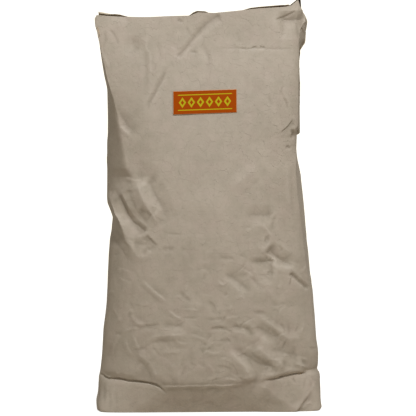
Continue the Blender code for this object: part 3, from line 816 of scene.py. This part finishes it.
def blurred(field, rows_wide, columns_wide):
    """Mean of a closed grid over a window, from running sums along each direction."""
    sums = np.cumsum(np.pad(field, ((rows_wide + 1, rows_wide), (0, 0)), mode="edge"), axis=0)
    field = (sums[2 * rows_wide + 1:] - sums[:-2 * rows_wide - 1]) / (2 * rows_wide + 1)
    sums = np.cumsum(np.pad(field, ((0, 0), (columns_wide + 1, columns_wide)), mode="wrap"), axis=1)
    return (sums[:, 2 * columns_wide + 1:] - sums[:, :-2 * columns_wide - 1]) / (2 * columns_wide + 1)


smooth_normal = grid_normals(skin)
height = all_folds(skin, smooth_normal) + crumples(skin) + fine_wrinkles(skin)
height *= beside_the_outline(smooth_normal)
crumpled = skin + smooth_normal * height[..., None] * MM
# The pale scuffing and the painted shade are full where a fold stands this many millimetres out of or
# into the paper round it.
FULL_WEAR_AND_SHADE = 0.8
stands_out = height - blurred(height, 5, 5)
ridges = np.clip(stands_out / FULL_WEAR_AND_SHADE, 0.0, 1.0)
# Painted shade: where the relief lies deeper than the paper round it, this share darkens the paper's
# colour.
painted_shade = np.clip(-stands_out / FULL_WEAR_AND_SHADE, 0.0, 1.0)
print("relief from", round(height.min(), 1), "to", round(height.max(), 1), "mm")

# %% [markdown]
# ## From grids to closed meshes
#
# The crumpled grid is a tube that is open at both ends. Each end is closed by a panel of rows
# between the front half of the end ring and its back half. The tube is as dense all over as its
# crispest folds need, so a decimate step then removes the triangles that add least.

# %% Make a mesh object from points and triangles
def make_object(name, points, faces, corner_uv):
    """A smooth-shaded mesh object; corner_uv maps each name to one pair per triangle corner."""
    mesh = bpy.data.meshes.new(name)
    mesh.from_pydata(points.tolist(), [], faces.tolist())
    for layer, pairs in corner_uv.items():
        flat = pairs.reshape(-1).astype(np.float32)
        mesh.uv_layers.new(name=layer).data.foreach_set("uv", flat)
    mesh.shade_smooth()
    thing = bpy.data.objects.new(name, mesh)
    bpy.context.scene.collection.objects.link(thing)
    return thing


def triangles(index):
    """Two triangles for each cell of a grid of point numbers; a cell with a doubled point has one."""
    a, b = index[:-1, :-1].ravel(), index[:-1, 1:].ravel()
    d, c = index[1:, :-1].ravel(), index[1:, 1:].ravel()
    faces = np.concatenate([np.stack([a, b, c], axis=1), np.stack([a, c, d], axis=1)])
    whole = (faces[:, 0] != faces[:, 1]) & (faces[:, 1] != faces[:, 2]) & (faces[:, 0] != faces[:, 2])
    return faces[whole]


# A panel hangs by its whole sag where it is at least this wide.
FULL_SAG_WIDTH = 0.15


def panel_points(ring, rows, sag):
    """Rows of points between the front half of a ring and its back half, hanging by the sag."""
    half = len(ring) // 2
    front = ring[1:half]
    back = ring[:half:-1]
    share = np.linspace(0.0, 1.0, rows + 2)[1:-1, None, None]
    points = front * (1.0 - share) + back * share
    width = np.linalg.norm(back - front, axis=1) / FULL_SAG_WIDTH
    points[..., 2] -= (sag * 4.0 * share * (1.0 - share))[..., 0] * np.clip(width, 0.0, 1.0)
    return points


def panel_index(ring_start, count, inner_start, rows):
    """Point numbers of a panel: the front half of the ring, its inner rows, and the back half."""
    half = count // 2
    front = ring_start + np.arange(half + 1)
    back = ring_start + (count - np.arange(half + 1)) % count
    inner = inner_start + np.arange(rows * (half - 1)).reshape(rows, half - 1)
    left = np.full((rows, 1), ring_start)
    right = np.full((rows, 1), ring_start + half)
    return np.vstack([front, np.hstack([left, inner, right]), back])


def tube(grid, panel_rows, top_sag):
    """A closed skin from a grid that runs round the girth: its points, wall and panel triangles."""
    rows, count = grid.shape[:2]
    floor_panel = panel_points(grid[0], panel_rows, 0.0)
    top_panel = panel_points(grid[-1], panel_rows, top_sag)
    points = np.vstack([part.reshape(-1, 3) for part in (grid, floor_panel, top_panel)])
    wall_index = np.arange(rows * count).reshape(rows, count)
    wall = triangles(np.hstack([wall_index, wall_index[:, :1]]))
    inner = rows * count
    low = triangles(panel_index(0, count, inner, panel_rows))[:, ::-1]
    inner += floor_panel[..., 0].size
    high = triangles(panel_index((rows - 1) * count, count, inner, panel_rows))
    return points, wall, np.vstack([low, high])


def tube_uv(points, wall, panels, count):
    """Metres of paper round the girth and up for the wall, and plain x and y for the panels."""
    share = (wall % count) / count
    share = np.where((share.max(axis=1) - share.min(axis=1) > 0.5)[:, None] & (share < 0.5),
                     share + 1.0, share)
    wall_uv = np.stack([share * GIRTH, points[wall][..., 2]], axis=-1)
    panel_uv = points[panels][..., :2] + np.array([0.0, 2.0])
    return np.vstack([wall_uv, panel_uv])


def thinned(thing, most):
    """Removes the triangles that add least until no more than the given number are left."""
    count = len(thing.data.polygons)
    if count <= most:
        return thing
    step = thing.modifiers.new("thin", "DECIMATE")
    step.ratio = most / count
    step.use_collapse_triangulate = True
    evaluated = thing.evaluated_get(bpy.context.evaluated_depsgraph_get())
    lighter = bpy.data.meshes.new_from_object(evaluated)
    thing.modifiers.clear()
    thing.data = lighter
    return thing


PANEL_ROWS = 24
TOP_SAG = 0.004
MOST_TRIANGLES = 188000
points, wall, panels = tube(crumpled, PANEL_ROWS, TOP_SAG)
count = crumpled.shape[1]
# The second map: its first number is the pale scuffing of the ridges, its second the painted shade of
# the valleys.
mask = np.zeros((len(points), 2))
mask[:ridges.size] = np.stack([ridges.ravel(), painted_shade.ravel()], axis=1)
faces = np.vstack([wall, panels])
sack = make_object("crumpled_sack", place(points), faces, {
    "paper": tube_uv(points, wall, panels, count),
    "wear": mask[faces],
})
sack = thinned(sack, MOST_TRIANGLES)
sack.data.set_sharp_from_angle(angle=np.radians(20.0))
print("sack:", len(sack.data.polygons), "triangles")

# %% [markdown]
# ## The loose filling
#
# The filling touches the paper everywhere, so it is the same crumpled tube on a coarser grid, moved
# a few millimetres inwards and roughened by the flakes.

# %% The vermiculite inside
INSIDE = 0.004
FLAKE = 0.0007
FLAKE_SPACING = 0.006
coarse = crumpled[::4, ::3] - smooth_normal[::4, ::3] * INSIDE
grain = np.stack([undulation(coarse, FLAKE_SPACING, seed) for seed in (51, 52, 53)], axis=-1)
coarse = coarse + grain * FLAKE
coarse[0, :, 2] = FLOOR_TO_PAPER + INSIDE
coarse[-1, :, 2] -= INSIDE
points, wall, panels = tube(coarse, 8, TOP_SAG)
flakes = make_object("loose_vermiculite", place(points), np.vstack([wall, panels]), {
    "paper": tube_uv(points, wall, panels, coarse.shape[1]),
})
print("filling:", len(flakes.data.polygons), "triangles")

# %% [markdown]
# ## Strips, sleeve and label
#
# The glued strip, the valve sleeve and the label are thin sheets. Each one is two grids of points,
# an upper side and an under side, joined round the rim. The strip on top stands a little off the
# block at three places, which leaves the dark gaps along the upper edge of the sack.

# %% A thin closed sheet
def sheet_object(name, upper, under):
    """A closed sheet from two grids of the same size; its map is metres along and across."""
    rows, columns = upper.shape[:2]
    index = np.arange(rows * columns).reshape(rows, columns)
    top = triangles(index)
    bottom = triangles(index + rows * columns)[:, ::-1]
    rim = np.concatenate([index[0, :-1], index[:-1, -1], index[-1, :0:-1], index[:0:-1, 0]])
    rim = np.append(rim, rim[0])
    side = triangles(np.vstack([rim + rows * columns, rim]))
    points = np.vstack([upper.reshape(-1, 3), under.reshape(-1, 3)])
    along = np.linspace(0.0, 1.0, columns)[None, :] + np.zeros((rows, 1))
    across = np.linspace(0.0, 1.0, rows)[:, None] + np.zeros((1, columns))
    pairs = np.stack([along, across], axis=-1).reshape(-1, 2)
    pairs = np.vstack([pairs, pairs])
    faces = np.vstack([top, bottom, side])
    facing = np.zeros((len(faces), 3, 2))
    facing[len(top):len(top) + len(bottom), :, 0] = 1.0
    return make_object(name, place(points), faces, {"sheet": pairs[faces], "underside": facing})


def block_depth(x):
    """Half the depth of the top block at x, from the superellipse of its fold line."""
    middle = (TOP_LINE[0][0] + TOP_LINE[-1][0]) / 2.0
    half_width = (TOP_LINE[-1][0] - TOP_LINE[0][0]) / 2.0
    reach = np.clip(np.abs(x - middle) / half_width, 0.0, 1.0)
    squareness = SECTION[-1][2]
    return SECTION[-1][1] * (1.0 - reach ** squareness) ** (1.0 / squareness)


# %% The strip glued over the top block
STRIP_ENDS = (-0.275, 0.196)
STRIP_HALF = 0.046
STRIP_THICK = 0.0006
STRIP_CLEAR = 0.0012
NARROWEST = 0.012
# Distance right of the middle, then how far the front edge stands off the block.
STRIP_LIFT = (
    (-0.276, 0.0115), (-0.262, 0.0108), (-0.245, 0.0090), (-0.222, 0.0082), (-0.202, 0.0040),
    (-0.060, 0.0015), (-0.042, 0.0080), (-0.012, 0.0075), (0.000, 0.0030), (0.075, 0.0030),
    (0.100, 0.0075), (0.180, 0.0080), (0.200, 0.0050),
)
# The front lip bends down at the left end, where its upper side shows.
STRIP_LIP = ((-0.276, 0.0040), (-0.255, 0.0035), (-0.235, 0.0000), (0.200, 0.0000))
along = np.linspace(*STRIP_ENDS, 160)
across = np.concatenate([np.linspace(-1.0, -0.9, 6), np.linspace(-0.85, 1.0, 18)])
strip_y = across[:, None] * STRIP_HALF + np.zeros((1, len(along)))
block = piece_of_line(along, TOP_LINE)[None, :]
bulge = 1.0 - np.clip(np.abs(strip_y) / np.maximum(block_depth(along), NARROWEST), 0.0, 1.0) ** 2
lift = piece_of_line(along, STRIP_LIFT)[None, :] * ease(-across, -0.2, 0.9)[:, None]
lip = piece_of_line(along, STRIP_LIP)[None, :] * ease(-across, 0.90, 1.0)[:, None]
strip_z = block - TOP_SAG * bulge + STRIP_CLEAR + lift - lip
strip_x = along[None, :] + np.zeros_like(strip_y)
under = np.stack([strip_x, strip_y, strip_z], axis=-1)
under[..., 2] += 0.0004 * undulation(under, 0.03, 61)
upper = under + np.array([0.0, 0.0, STRIP_THICK])
strip = sheet_object("top_strip", upper, under)

# %% The valve sleeve in the right corner
# Distance right of the middle, then the height of the scrap that stands up behind the paper's ear.
SLEEVE_LINE = (
    (0.120, 0.9975), (0.180, 1.0010), (0.200, 1.0050), (0.212, 1.0140), (0.219, 1.0205),
    (0.226, 1.0205), (0.2275, 0.9970),
)
SLEEVE_HALF = 0.040
along = np.linspace(SLEEVE_LINE[0][0], SLEEVE_LINE[-1][0], 60)
across = np.linspace(-1.0, 1.0, 12)[:, None]
half = np.minimum(SLEEVE_HALF, block_depth(along) * 0.75)[None, :]
sleeve_y = across * half
sleeve_z = piece_of_line(along, SLEEVE_LINE)[None, :] + np.zeros_like(sleeve_y)
sleeve_x = along[None, :] + np.zeros_like(sleeve_y)
under = np.stack([sleeve_x, sleeve_y, sleeve_z], axis=-1)
under[..., 2] -= 0.0010 - 0.0006 * undulation(under, 0.02, 62)
sleeve = sheet_object("brown_sleeve", under + np.array([0.0, 0.0, 0.0005]), under)

# %% The label on the front
LABEL_MIDDLE = (-0.0150, 0.7585)
LABEL_HALF = (0.0780, 0.0292)
LABEL_LEAN = 0.038
LABEL_OFF = 0.0006
LABEL_THICK = 0.0003


def front_depth(x, z):
    """Where the crumpled front lies at x and z, read between the points of the grid."""
    middle = FRONT_COLUMNS // 2
    row = np.interp(z, crumpled[:, middle, 2], np.arange(crumpled.shape[0]))
    nearest = np.clip(np.round(row).astype(int), 0, crumpled.shape[0] - 1)
    column = np.empty_like(x)
    for level in np.unique(nearest):
        here = nearest == level
        column[here] = np.interp(x[here], crumpled[level, :FRONT_COLUMNS, 0],
                                 np.arange(FRONT_COLUMNS))
    r = np.clip(row.astype(int), 0, crumpled.shape[0] - 2)
    c = np.clip(column.astype(int), 0, FRONT_COLUMNS - 2)
    u, v = column - c, row - r
    y = crumpled[..., 1]
    low = y[r, c] * (1.0 - u) + y[r, c + 1] * u
    high = y[r + 1, c] * (1.0 - u) + y[r + 1, c + 1] * u
    return low * (1.0 - v) + high * v


u = np.linspace(-LABEL_HALF[0], LABEL_HALF[0], 61)[None, :] + np.zeros((25, 1))
v = np.linspace(-LABEL_HALF[1], LABEL_HALF[1], 25)[:, None] + np.zeros((1, 61))
label_x = LABEL_MIDDLE[0] + u
label_z = LABEL_MIDDLE[1] + v + LABEL_LEAN * u
label_y = front_depth(label_x, label_z)
paper_side = np.stack([label_x, label_y - LABEL_OFF, label_z], axis=-1)
outer_side = paper_side - np.array([0.0, LABEL_THICK, 0.0])
label = sheet_object("orange_label", outer_side, paper_side)

# %% [markdown]
# ## Finishes
#
# Kraft paper is warm grey with faint pink clouds, short fibres and a dull sheen. Where it
# is folded out the fibres are scuffed pale; where it is folded in, shade is painted into its colour.
# The second map of the mesh says where that is, so the scuffing and the painted shade always lie on
# the folds themselves.

# %% Small helpers for node trees
def new_material(name):
    """A material with an empty tree that holds one shader; returns it, its tree and its shader."""
    made = bpy.data.materials.new(name)
    made.use_nodes = True
    return made, made.node_tree, made.node_tree.nodes["Principled BSDF"]


def join(tree, node, links):
    """Joins the named inputs of a node to the given sockets, or sets them to the given values."""
    for name, source in links:
        if isinstance(source, (int, float, tuple)):
            node.inputs[name].default_value = source
        else:
            tree.links.new(source, node.inputs[name])


def linked(tree, kind, links=(), **settings):
    """Adds a node, makes its own settings and joins its inputs."""
    node = tree.nodes.new(kind)
    for key, value in settings.items():
        setattr(node, key, value)
    join(tree, node, links)
    return node


def noise(tree, where, scale, detail=2.0, rough=0.5):
    """The factor of a cloud of noise at the given coordinates."""
    links = (("Vector", where), ("Scale", scale), ("Detail", detail), ("Roughness", rough))
    return linked(tree, "ShaderNodeTexNoise", links).outputs["Fac"]


def mixed(tree, factor, first, second):
    """A colour between the first and the second."""
    links = (("Factor", factor), (6, first), (7, second))
    return linked(tree, "ShaderNodeMix", links, data_type="RGBA").outputs[2]


def arithmetic(tree, operation, *values):
    """One step of arithmetic on numbers or sockets."""
    return linked(tree, "ShaderNodeMath", enumerate(values), operation=operation).outputs[0]


def on_vectors(tree, operation, first, second):
    """One step of arithmetic on vectors; a dot product gives a number."""
    node = linked(tree, "ShaderNodeVectorMath", ((0, first), (1, second)), operation=operation)
    return node.outputs["Value" if operation == "DOT_PRODUCT" else 0]


def stretched(tree, where, low, high):
    """Maps a number so that low becomes 0 and high becomes 1, and holds it there outside."""
    links = (("Value", where), ("From Min", low), ("From Max", high))
    return linked(tree, "ShaderNodeMapRange", links, clamp=True).outputs["Result"]


def relief(tree, height, strength, distance):
    """The normal of a surface that a height raises for the light only."""
    links = (("Height", height), ("Strength", strength), ("Distance", distance))
    return linked(tree, "ShaderNodeBump", links).outputs["Normal"]


MIDDLE_GREY = (0.5, 0.5, 0.5)


def tilted_facets(tree, where, scale, slope):
    """Flat cells, each with its own random tilt: the colour of a cell, less a half, is its slope.

    The height is the slope times the distance from the middle of the cell, in metres.
    """
    drift = linked(tree, "ShaderNodeTexNoise", (("Vector", where), ("Scale", scale * 0.6)))
    off = on_vectors(tree, "SUBTRACT", drift.outputs["Color"], MIDDLE_GREY)
    bent = on_vectors(tree, "ADD", where, on_vectors(tree, "MULTIPLY", off, (1.1 / scale,) * 3))
    cells = linked(tree, "ShaderNodeTexVoronoi", (("Vector", bent), ("Scale", scale)))
    tilt = on_vectors(tree, "SUBTRACT", cells.outputs["Color"], MIDDLE_GREY)
    arm = on_vectors(tree, "SUBTRACT", bent, cells.outputs["Position"])
    return arithmetic(tree, "MULTIPLY", on_vectors(tree, "DOT_PRODUCT", tilt, arm), slope)


# %% The kraft paper, as one shared node group
# The clouds, the scuffed ridges and the shaded valleys of the paper.
PINK = (0.475, 0.380, 0.315, 1.0)
SCUFFED = (0.62, 0.55, 0.46, 1.0)
SHADED = (0.20, 0.165, 0.12, 1.0)


def paper_group():
    """Colour, roughness and bump height of kraft paper from its map, its tint, its scuffed ridges and
    the painted shade of its valleys.
    """
    group = bpy.data.node_groups.new("kraft paper", "ShaderNodeTree")
    for name, way, kind in (
        ("Map", "INPUT", "Vector"), ("Light", "INPUT", "Color"), ("Dark", "INPUT", "Color"),
        ("Ridge", "INPUT", "Float"), ("Painted Shade", "INPUT", "Float"), ("Color", "OUTPUT", "Color"),
        ("Roughness", "OUTPUT", "Float"), ("Height", "OUTPUT", "Float"),
    ):
        group.interface.new_socket(name, in_out=way, socket_type="NodeSocket" + kind)
    given = group.nodes.new("NodeGroupInput")
    result = group.nodes.new("NodeGroupOutput")
    where = given.outputs["Map"]
    clouds = noise(group, where, 9.0, 4.0, 0.6)
    blotches = noise(group, where, 38.0, 3.0, 0.6)
    spread = linked(group, "ShaderNodeMapping", (("Vector", where), ("Scale", (1.0, 6.0, 1.0))))
    fibres = noise(group, spread.outputs["Vector"], 160.0, 3.0, 0.6)
    grain = noise(group, where, 900.0, 2.0, 0.6)
    tone = arithmetic(group, "MULTIPLY_ADD", clouds, 0.5, arithmetic(group, "MULTIPLY", blotches, 0.5))
    base = mixed(group, stretched(group, tone, 0.36, 0.64), given.outputs["Dark"],
                 given.outputs["Light"])
    pink = mixed(group, stretched(group, noise(group, where, 21.0, 3.0, 0.6), 0.45, 0.7), base, PINK)
    tinted = mixed(group, 0.35, base, pink)
    fine = arithmetic(group, "MULTIPLY_ADD", fibres, 0.6, arithmetic(group, "MULTIPLY", grain, 0.4))
    lit = arithmetic(group, "MULTIPLY_ADD", stretched(group, fine, 0.3, 0.7), 0.10, 0.95)
    speckled = linked(group, "ShaderNodeHueSaturation", (("Color", tinted), ("Value", lit)))
    ridge = arithmetic(group, "MULTIPLY", given.outputs["Ridge"], 0.22)
    scuffed = mixed(group, ridge, speckled.outputs["Color"], SCUFFED)
    # Painted shade: the paper is darkened towards SHADED where the relief lies in a valley.
    shade_share = arithmetic(group, "MULTIPLY", given.outputs["Painted Shade"], 0.30)
    facets = arithmetic(group, "ADD", tilted_facets(group, where, 105.0, 0.05),
                        tilted_facets(group, where, 42.0, 0.035))
    join(group, result, (
        ("Color", mixed(group, shade_share, scuffed, SHADED)),
        ("Roughness", arithmetic(group, "MULTIPLY_ADD", blotches, 0.12, 0.52)),
        ("Height", arithmetic(group, "MULTIPLY_ADD", fine, 0.00025, facets)),
    ))
    return group


def object_map(tree):
    """Metres in the piece's own space, for pieces without a map of their own."""
    return linked(tree, "ShaderNodeTexCoord").outputs["Object"]


def kraft_material(name, light, dark, crumpled=False):
    """Kraft paper in one pair of tones; crumpled paper also has scuffed ridges, painted shade in its
    valleys and relief, by its two maps.
    """
    made, tree, shader = new_material(name)
    tones = (("Light", (*light, 1.0)), ("Dark", (*dark, 1.0)))
    paper = linked(tree, "ShaderNodeGroup", tones, node_tree=shared_paper)
    join(tree, shader, (("Base Color", paper.outputs["Color"]),
                        ("Roughness", paper.outputs["Roughness"])))
    if not crumpled:
        join(tree, paper, (("Map", object_map(tree)),))
        return made
    metres = linked(tree, "ShaderNodeUVMap", uv_map="paper").outputs["UV"]
    wear = linked(tree, "ShaderNodeUVMap", uv_map="wear").outputs["UV"]
    parts = linked(tree, "ShaderNodeSeparateXYZ", (("Vector", wear),)).outputs
    # The map's second number is the painted shade of the valleys.
    join(tree, paper, (("Map", metres), ("Ridge", parts["X"]), ("Painted Shade", parts["Y"])))
    join(tree, shader, (("Specular IOR Level", 0.35),
                        ("Normal", relief(tree, paper.outputs["Height"], 1.0, 1.0))))
    return made


shared_paper = paper_group()
KRAFT = ((0.470, 0.402, 0.318), (0.405, 0.350, 0.272))
STRIP_KRAFT = ((0.54, 0.46, 0.33), (0.47, 0.40, 0.29))
BROWN_KRAFT = ((0.33, 0.22, 0.11), (0.22, 0.14, 0.07))
sack.data.materials.append(kraft_material("kraft", *KRAFT, crumpled=True))
strip.data.materials.append(kraft_material("strip kraft", *STRIP_KRAFT))
sleeve.data.materials.append(kraft_material("brown kraft", *BROWN_KRAFT))
bottom_strip = bpy.data.objects["bottom_patch"]
bottom_strip.material_slots[0].material = kraft_material("bottom kraft", *KRAFT)

# %% The flakes
DARK_GOLD = (0.30, 0.17, 0.07, 1.0)
LIGHT_GOLD = (0.62, 0.44, 0.20, 1.0)
SILVER = (0.62, 0.58, 0.50, 1.0)


def flake_material():
    """Expanded vermiculite: golden-brown flakes of a few millimetres with silvery ones between."""
    made, tree, shader = new_material("vermiculite flakes")
    cells = linked(tree, "ShaderNodeTexVoronoi", (("Vector", object_map(tree)), ("Scale", 260.0)))
    tones = linked(tree, "ShaderNodeSeparateColor", (("Color", cells.outputs["Color"]),)).outputs
    gold = mixed(tree, tones["Red"], DARK_GOLD, LIGHT_GOLD)
    flakes_colour = mixed(tree, stretched(tree, tones["Green"], 0.8, 0.95), gold, SILVER)
    join(tree, shader, (("Base Color", flakes_colour), ("Roughness", 0.55),
                        ("Normal", relief(tree, cells.outputs["Distance"], 0.8, 0.002))))
    return made


flakes.data.materials.append(flake_material())

# %% The label's print
# In millimetres: the pale edge, the six lozenges with their distance and half sizes, and the two
# thin lines beside them with their distance from the middle and half width.
PALE_EDGE = 1.2
LOZENGES = 6
PITCH = 22.0
LOZENGE_HALF = (9.0, 13.0)
LINE_AT = 18.5
LINE_HALF = 1.2
# The share of a lozenge's size up to which it is open.
OPEN = 0.45
ORANGE = (0.365, 0.060, 0.0, 1.0)
YELLOW = (0.475, 0.40, 0.010, 1.0)
PALE = (0.52, 0.34, 0.20, 1.0)


def label_material():
    """Orange with a narrow pale edge and a band of yellow lozenges between two thin lines."""
    made, tree, shader = new_material("label print")

    def step(operation, *values):
        return arithmetic(tree, operation, *values)

    where = linked(tree, "ShaderNodeUVMap", uv_map="sheet").outputs["UV"]
    parts = linked(tree, "ShaderNodeSeparateXYZ", (("Vector", where),))
    long_side, short_side = (2.0 * half / MM for half in LABEL_HALF)
    margin = (long_side - LOZENGES * PITCH) / 2.0
    along = step("MULTIPLY", parts.outputs["X"], long_side)
    across = step("MULTIPLY", parts.outputs["Y"], short_side)
    from_end = step("MINIMUM", along, step("SUBTRACT", long_side, along))
    from_side = step("MINIMUM", across, step("SUBTRACT", short_side, across))
    edge = step("LESS_THAN", step("MINIMUM", from_end, from_side), PALE_EDGE)
    # The two distances from a lozenge's middle, each over its half size, add to one on its rim.
    from_middle = step("ABSOLUTE", step("SUBTRACT", across, short_side / 2.0))
    in_cell = step("PINGPONG", step("SUBTRACT", along, margin), PITCH / 2.0)
    from_centre = step("SUBTRACT", PITCH / 2.0, in_cell)
    both = step("ADD", step("DIVIDE", from_centre, LOZENGE_HALF[0]),
                step("DIVIDE", from_middle, LOZENGE_HALF[1]))
    rim = step("MULTIPLY", step("LESS_THAN", both, 1.0), step("GREATER_THAN", both, OPEN))
    off_line = step("ABSOLUTE", step("SUBTRACT", from_middle, LINE_AT))
    line = step("LESS_THAN", off_line, LINE_HALF)
    yellow = step("MULTIPLY", step("MAXIMUM", rim, line), step("GREATER_THAN", from_end, margin))
    ink = mixed(tree, yellow, ORANGE, YELLOW)
    cloud = noise(tree, object_map(tree), 220.0, 3.0, 0.7)
    uneven = linked(tree, "ShaderNodeHueSaturation",
                    (("Color", ink), ("Value", step("MULTIPLY_ADD", cloud, 0.25, 0.87))))
    join(tree, shader, (("Base Color", mixed(tree, edge, uneven.outputs["Color"], PALE)),
                        ("Roughness", 0.6), ("Specular IOR Level", 0.05)))
    return made


label.data.materials.append(label_material())

# %% [markdown]
# ## The pieces take the place of the plain solids
#
# Each dressed piece rides the sack's one body and stands for its own solid. The underside strip
# keeps its solid and only gets its paper.

# %% Ride and replace
for piece, node, slot in (
    (sack, "paper_sack", "sack_paper"),
    (flakes, "vermiculite_fill", "vermiculite"),
    (strip, "top_patch", "patch_paper"),
    (sleeve, "valve_sleeve", "sleeve_paper"),
    (label, "front_label", "label_print"),
):
    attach(piece, "root")
    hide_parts(node)

# %% [markdown]
# ## A plain studio
#
# The sack stands on a pale floor before a pale backdrop, both nearly white for the camera and much
# dimmer for the sack itself. One soft square light hangs high in front, a little to the right, and
# draws the folds. The camera looks level and slightly from the left.

# %% Floor and background
FLOOR_HALF = 6
FLOOR_TONE = (0.58, 0.53, 0.46, 1.0)
FLOOR_GLOW = 0.90
floor_mesh = bpy.data.meshes.new("floor")
corners = [(x * FLOOR_HALF, y * FLOOR_HALF, 0) for x, y in ((-1, -1), (1, -1), (1, 1), (-1, 1))]
floor_mesh.from_pydata(corners, [], [(0, 1, 2, 3)])
floor_finish, floor_tree, floor_shader = new_material("floor")
floor_ray = floor_tree.nodes.new("ShaderNodeLightPath").outputs["Is Camera Ray"]
join(floor_tree, floor_shader, (
    ("Base Color", FLOOR_TONE), ("Roughness", 1.0), ("Emission Color", (1.0, 1.0, 1.0, 1.0)),
    ("Emission Strength", arithmetic(floor_tree, "MULTIPLY", floor_ray, FLOOR_GLOW)),
))
floor_mesh.materials.append(floor_finish)
floor = bpy.data.objects.new("floor", floor_mesh)
bpy.context.scene.collection.objects.link(floor)

# The strength of the backdrop as the sack sees it, and as the camera sees it.
WORLD_LIGHT = 0.32
WORLD_SEEN = 1.25
WORLD_TINT = (1.03, 0.985, 0.885, 1.0)
world = bpy.data.worlds.new("studio")
world.use_nodes = True
sky = world.node_tree
sky_ray = sky.nodes.new("ShaderNodeLightPath").outputs["Is Camera Ray"]
brightness = linked(sky, "ShaderNodeMapRange", (
    ("Value", sky_ray), ("To Min", WORLD_LIGHT), ("To Max", WORLD_SEEN)))
join(sky, sky.nodes["Background"], (("Color", WORLD_TINT),
                                    ("Strength", brightness.outputs["Result"])))
bpy.context.scene.world = world

# %% The light
KEY_AT = Vector((0.62, -2.58, 4.25))
KEY_AIM = Vector((0.0, 0.0, 0.6))
KEY_SIDE = 0.85
KEY_WATTS = 156.0
KEY_TINT = (0.985, 1.01, 1.07)
key_data = bpy.data.lights.new("key", "AREA")
key_data.shape = "SQUARE"
key_data.size = KEY_SIDE
key_data.energy = KEY_WATTS
key_data.color = KEY_TINT
key = bpy.data.objects.new("key", key_data)
key.location = KEY_AT
key.rotation_euler = (KEY_AIM - KEY_AT).to_track_quat("-Z", "Y").to_euler()
bpy.context.scene.collection.objects.link(key)

# %% The eye
SENSOR = 36.0
camera_data = bpy.data.cameras.new("eye")
camera_data.sensor_width = SENSOR
camera_data.lens = SENSOR * EYE_DISTANCE / VIEW_WIDTH
camera = bpy.data.objects.new("eye", camera_data)
camera.location = (
    EYE_SIDE - EYE_DISTANCE * np.sin(EYE_TURN),
    -EYE_DISTANCE * np.cos(EYE_TURN),
    EYE_HEIGHT,
)
camera.rotation_euler = (np.radians(90.0), 0.0, -EYE_TURN)
bpy.context.scene.collection.objects.link(camera)
bpy.context.scene.camera = camera
bpy.context.scene.view_settings.view_transform = "Standard"
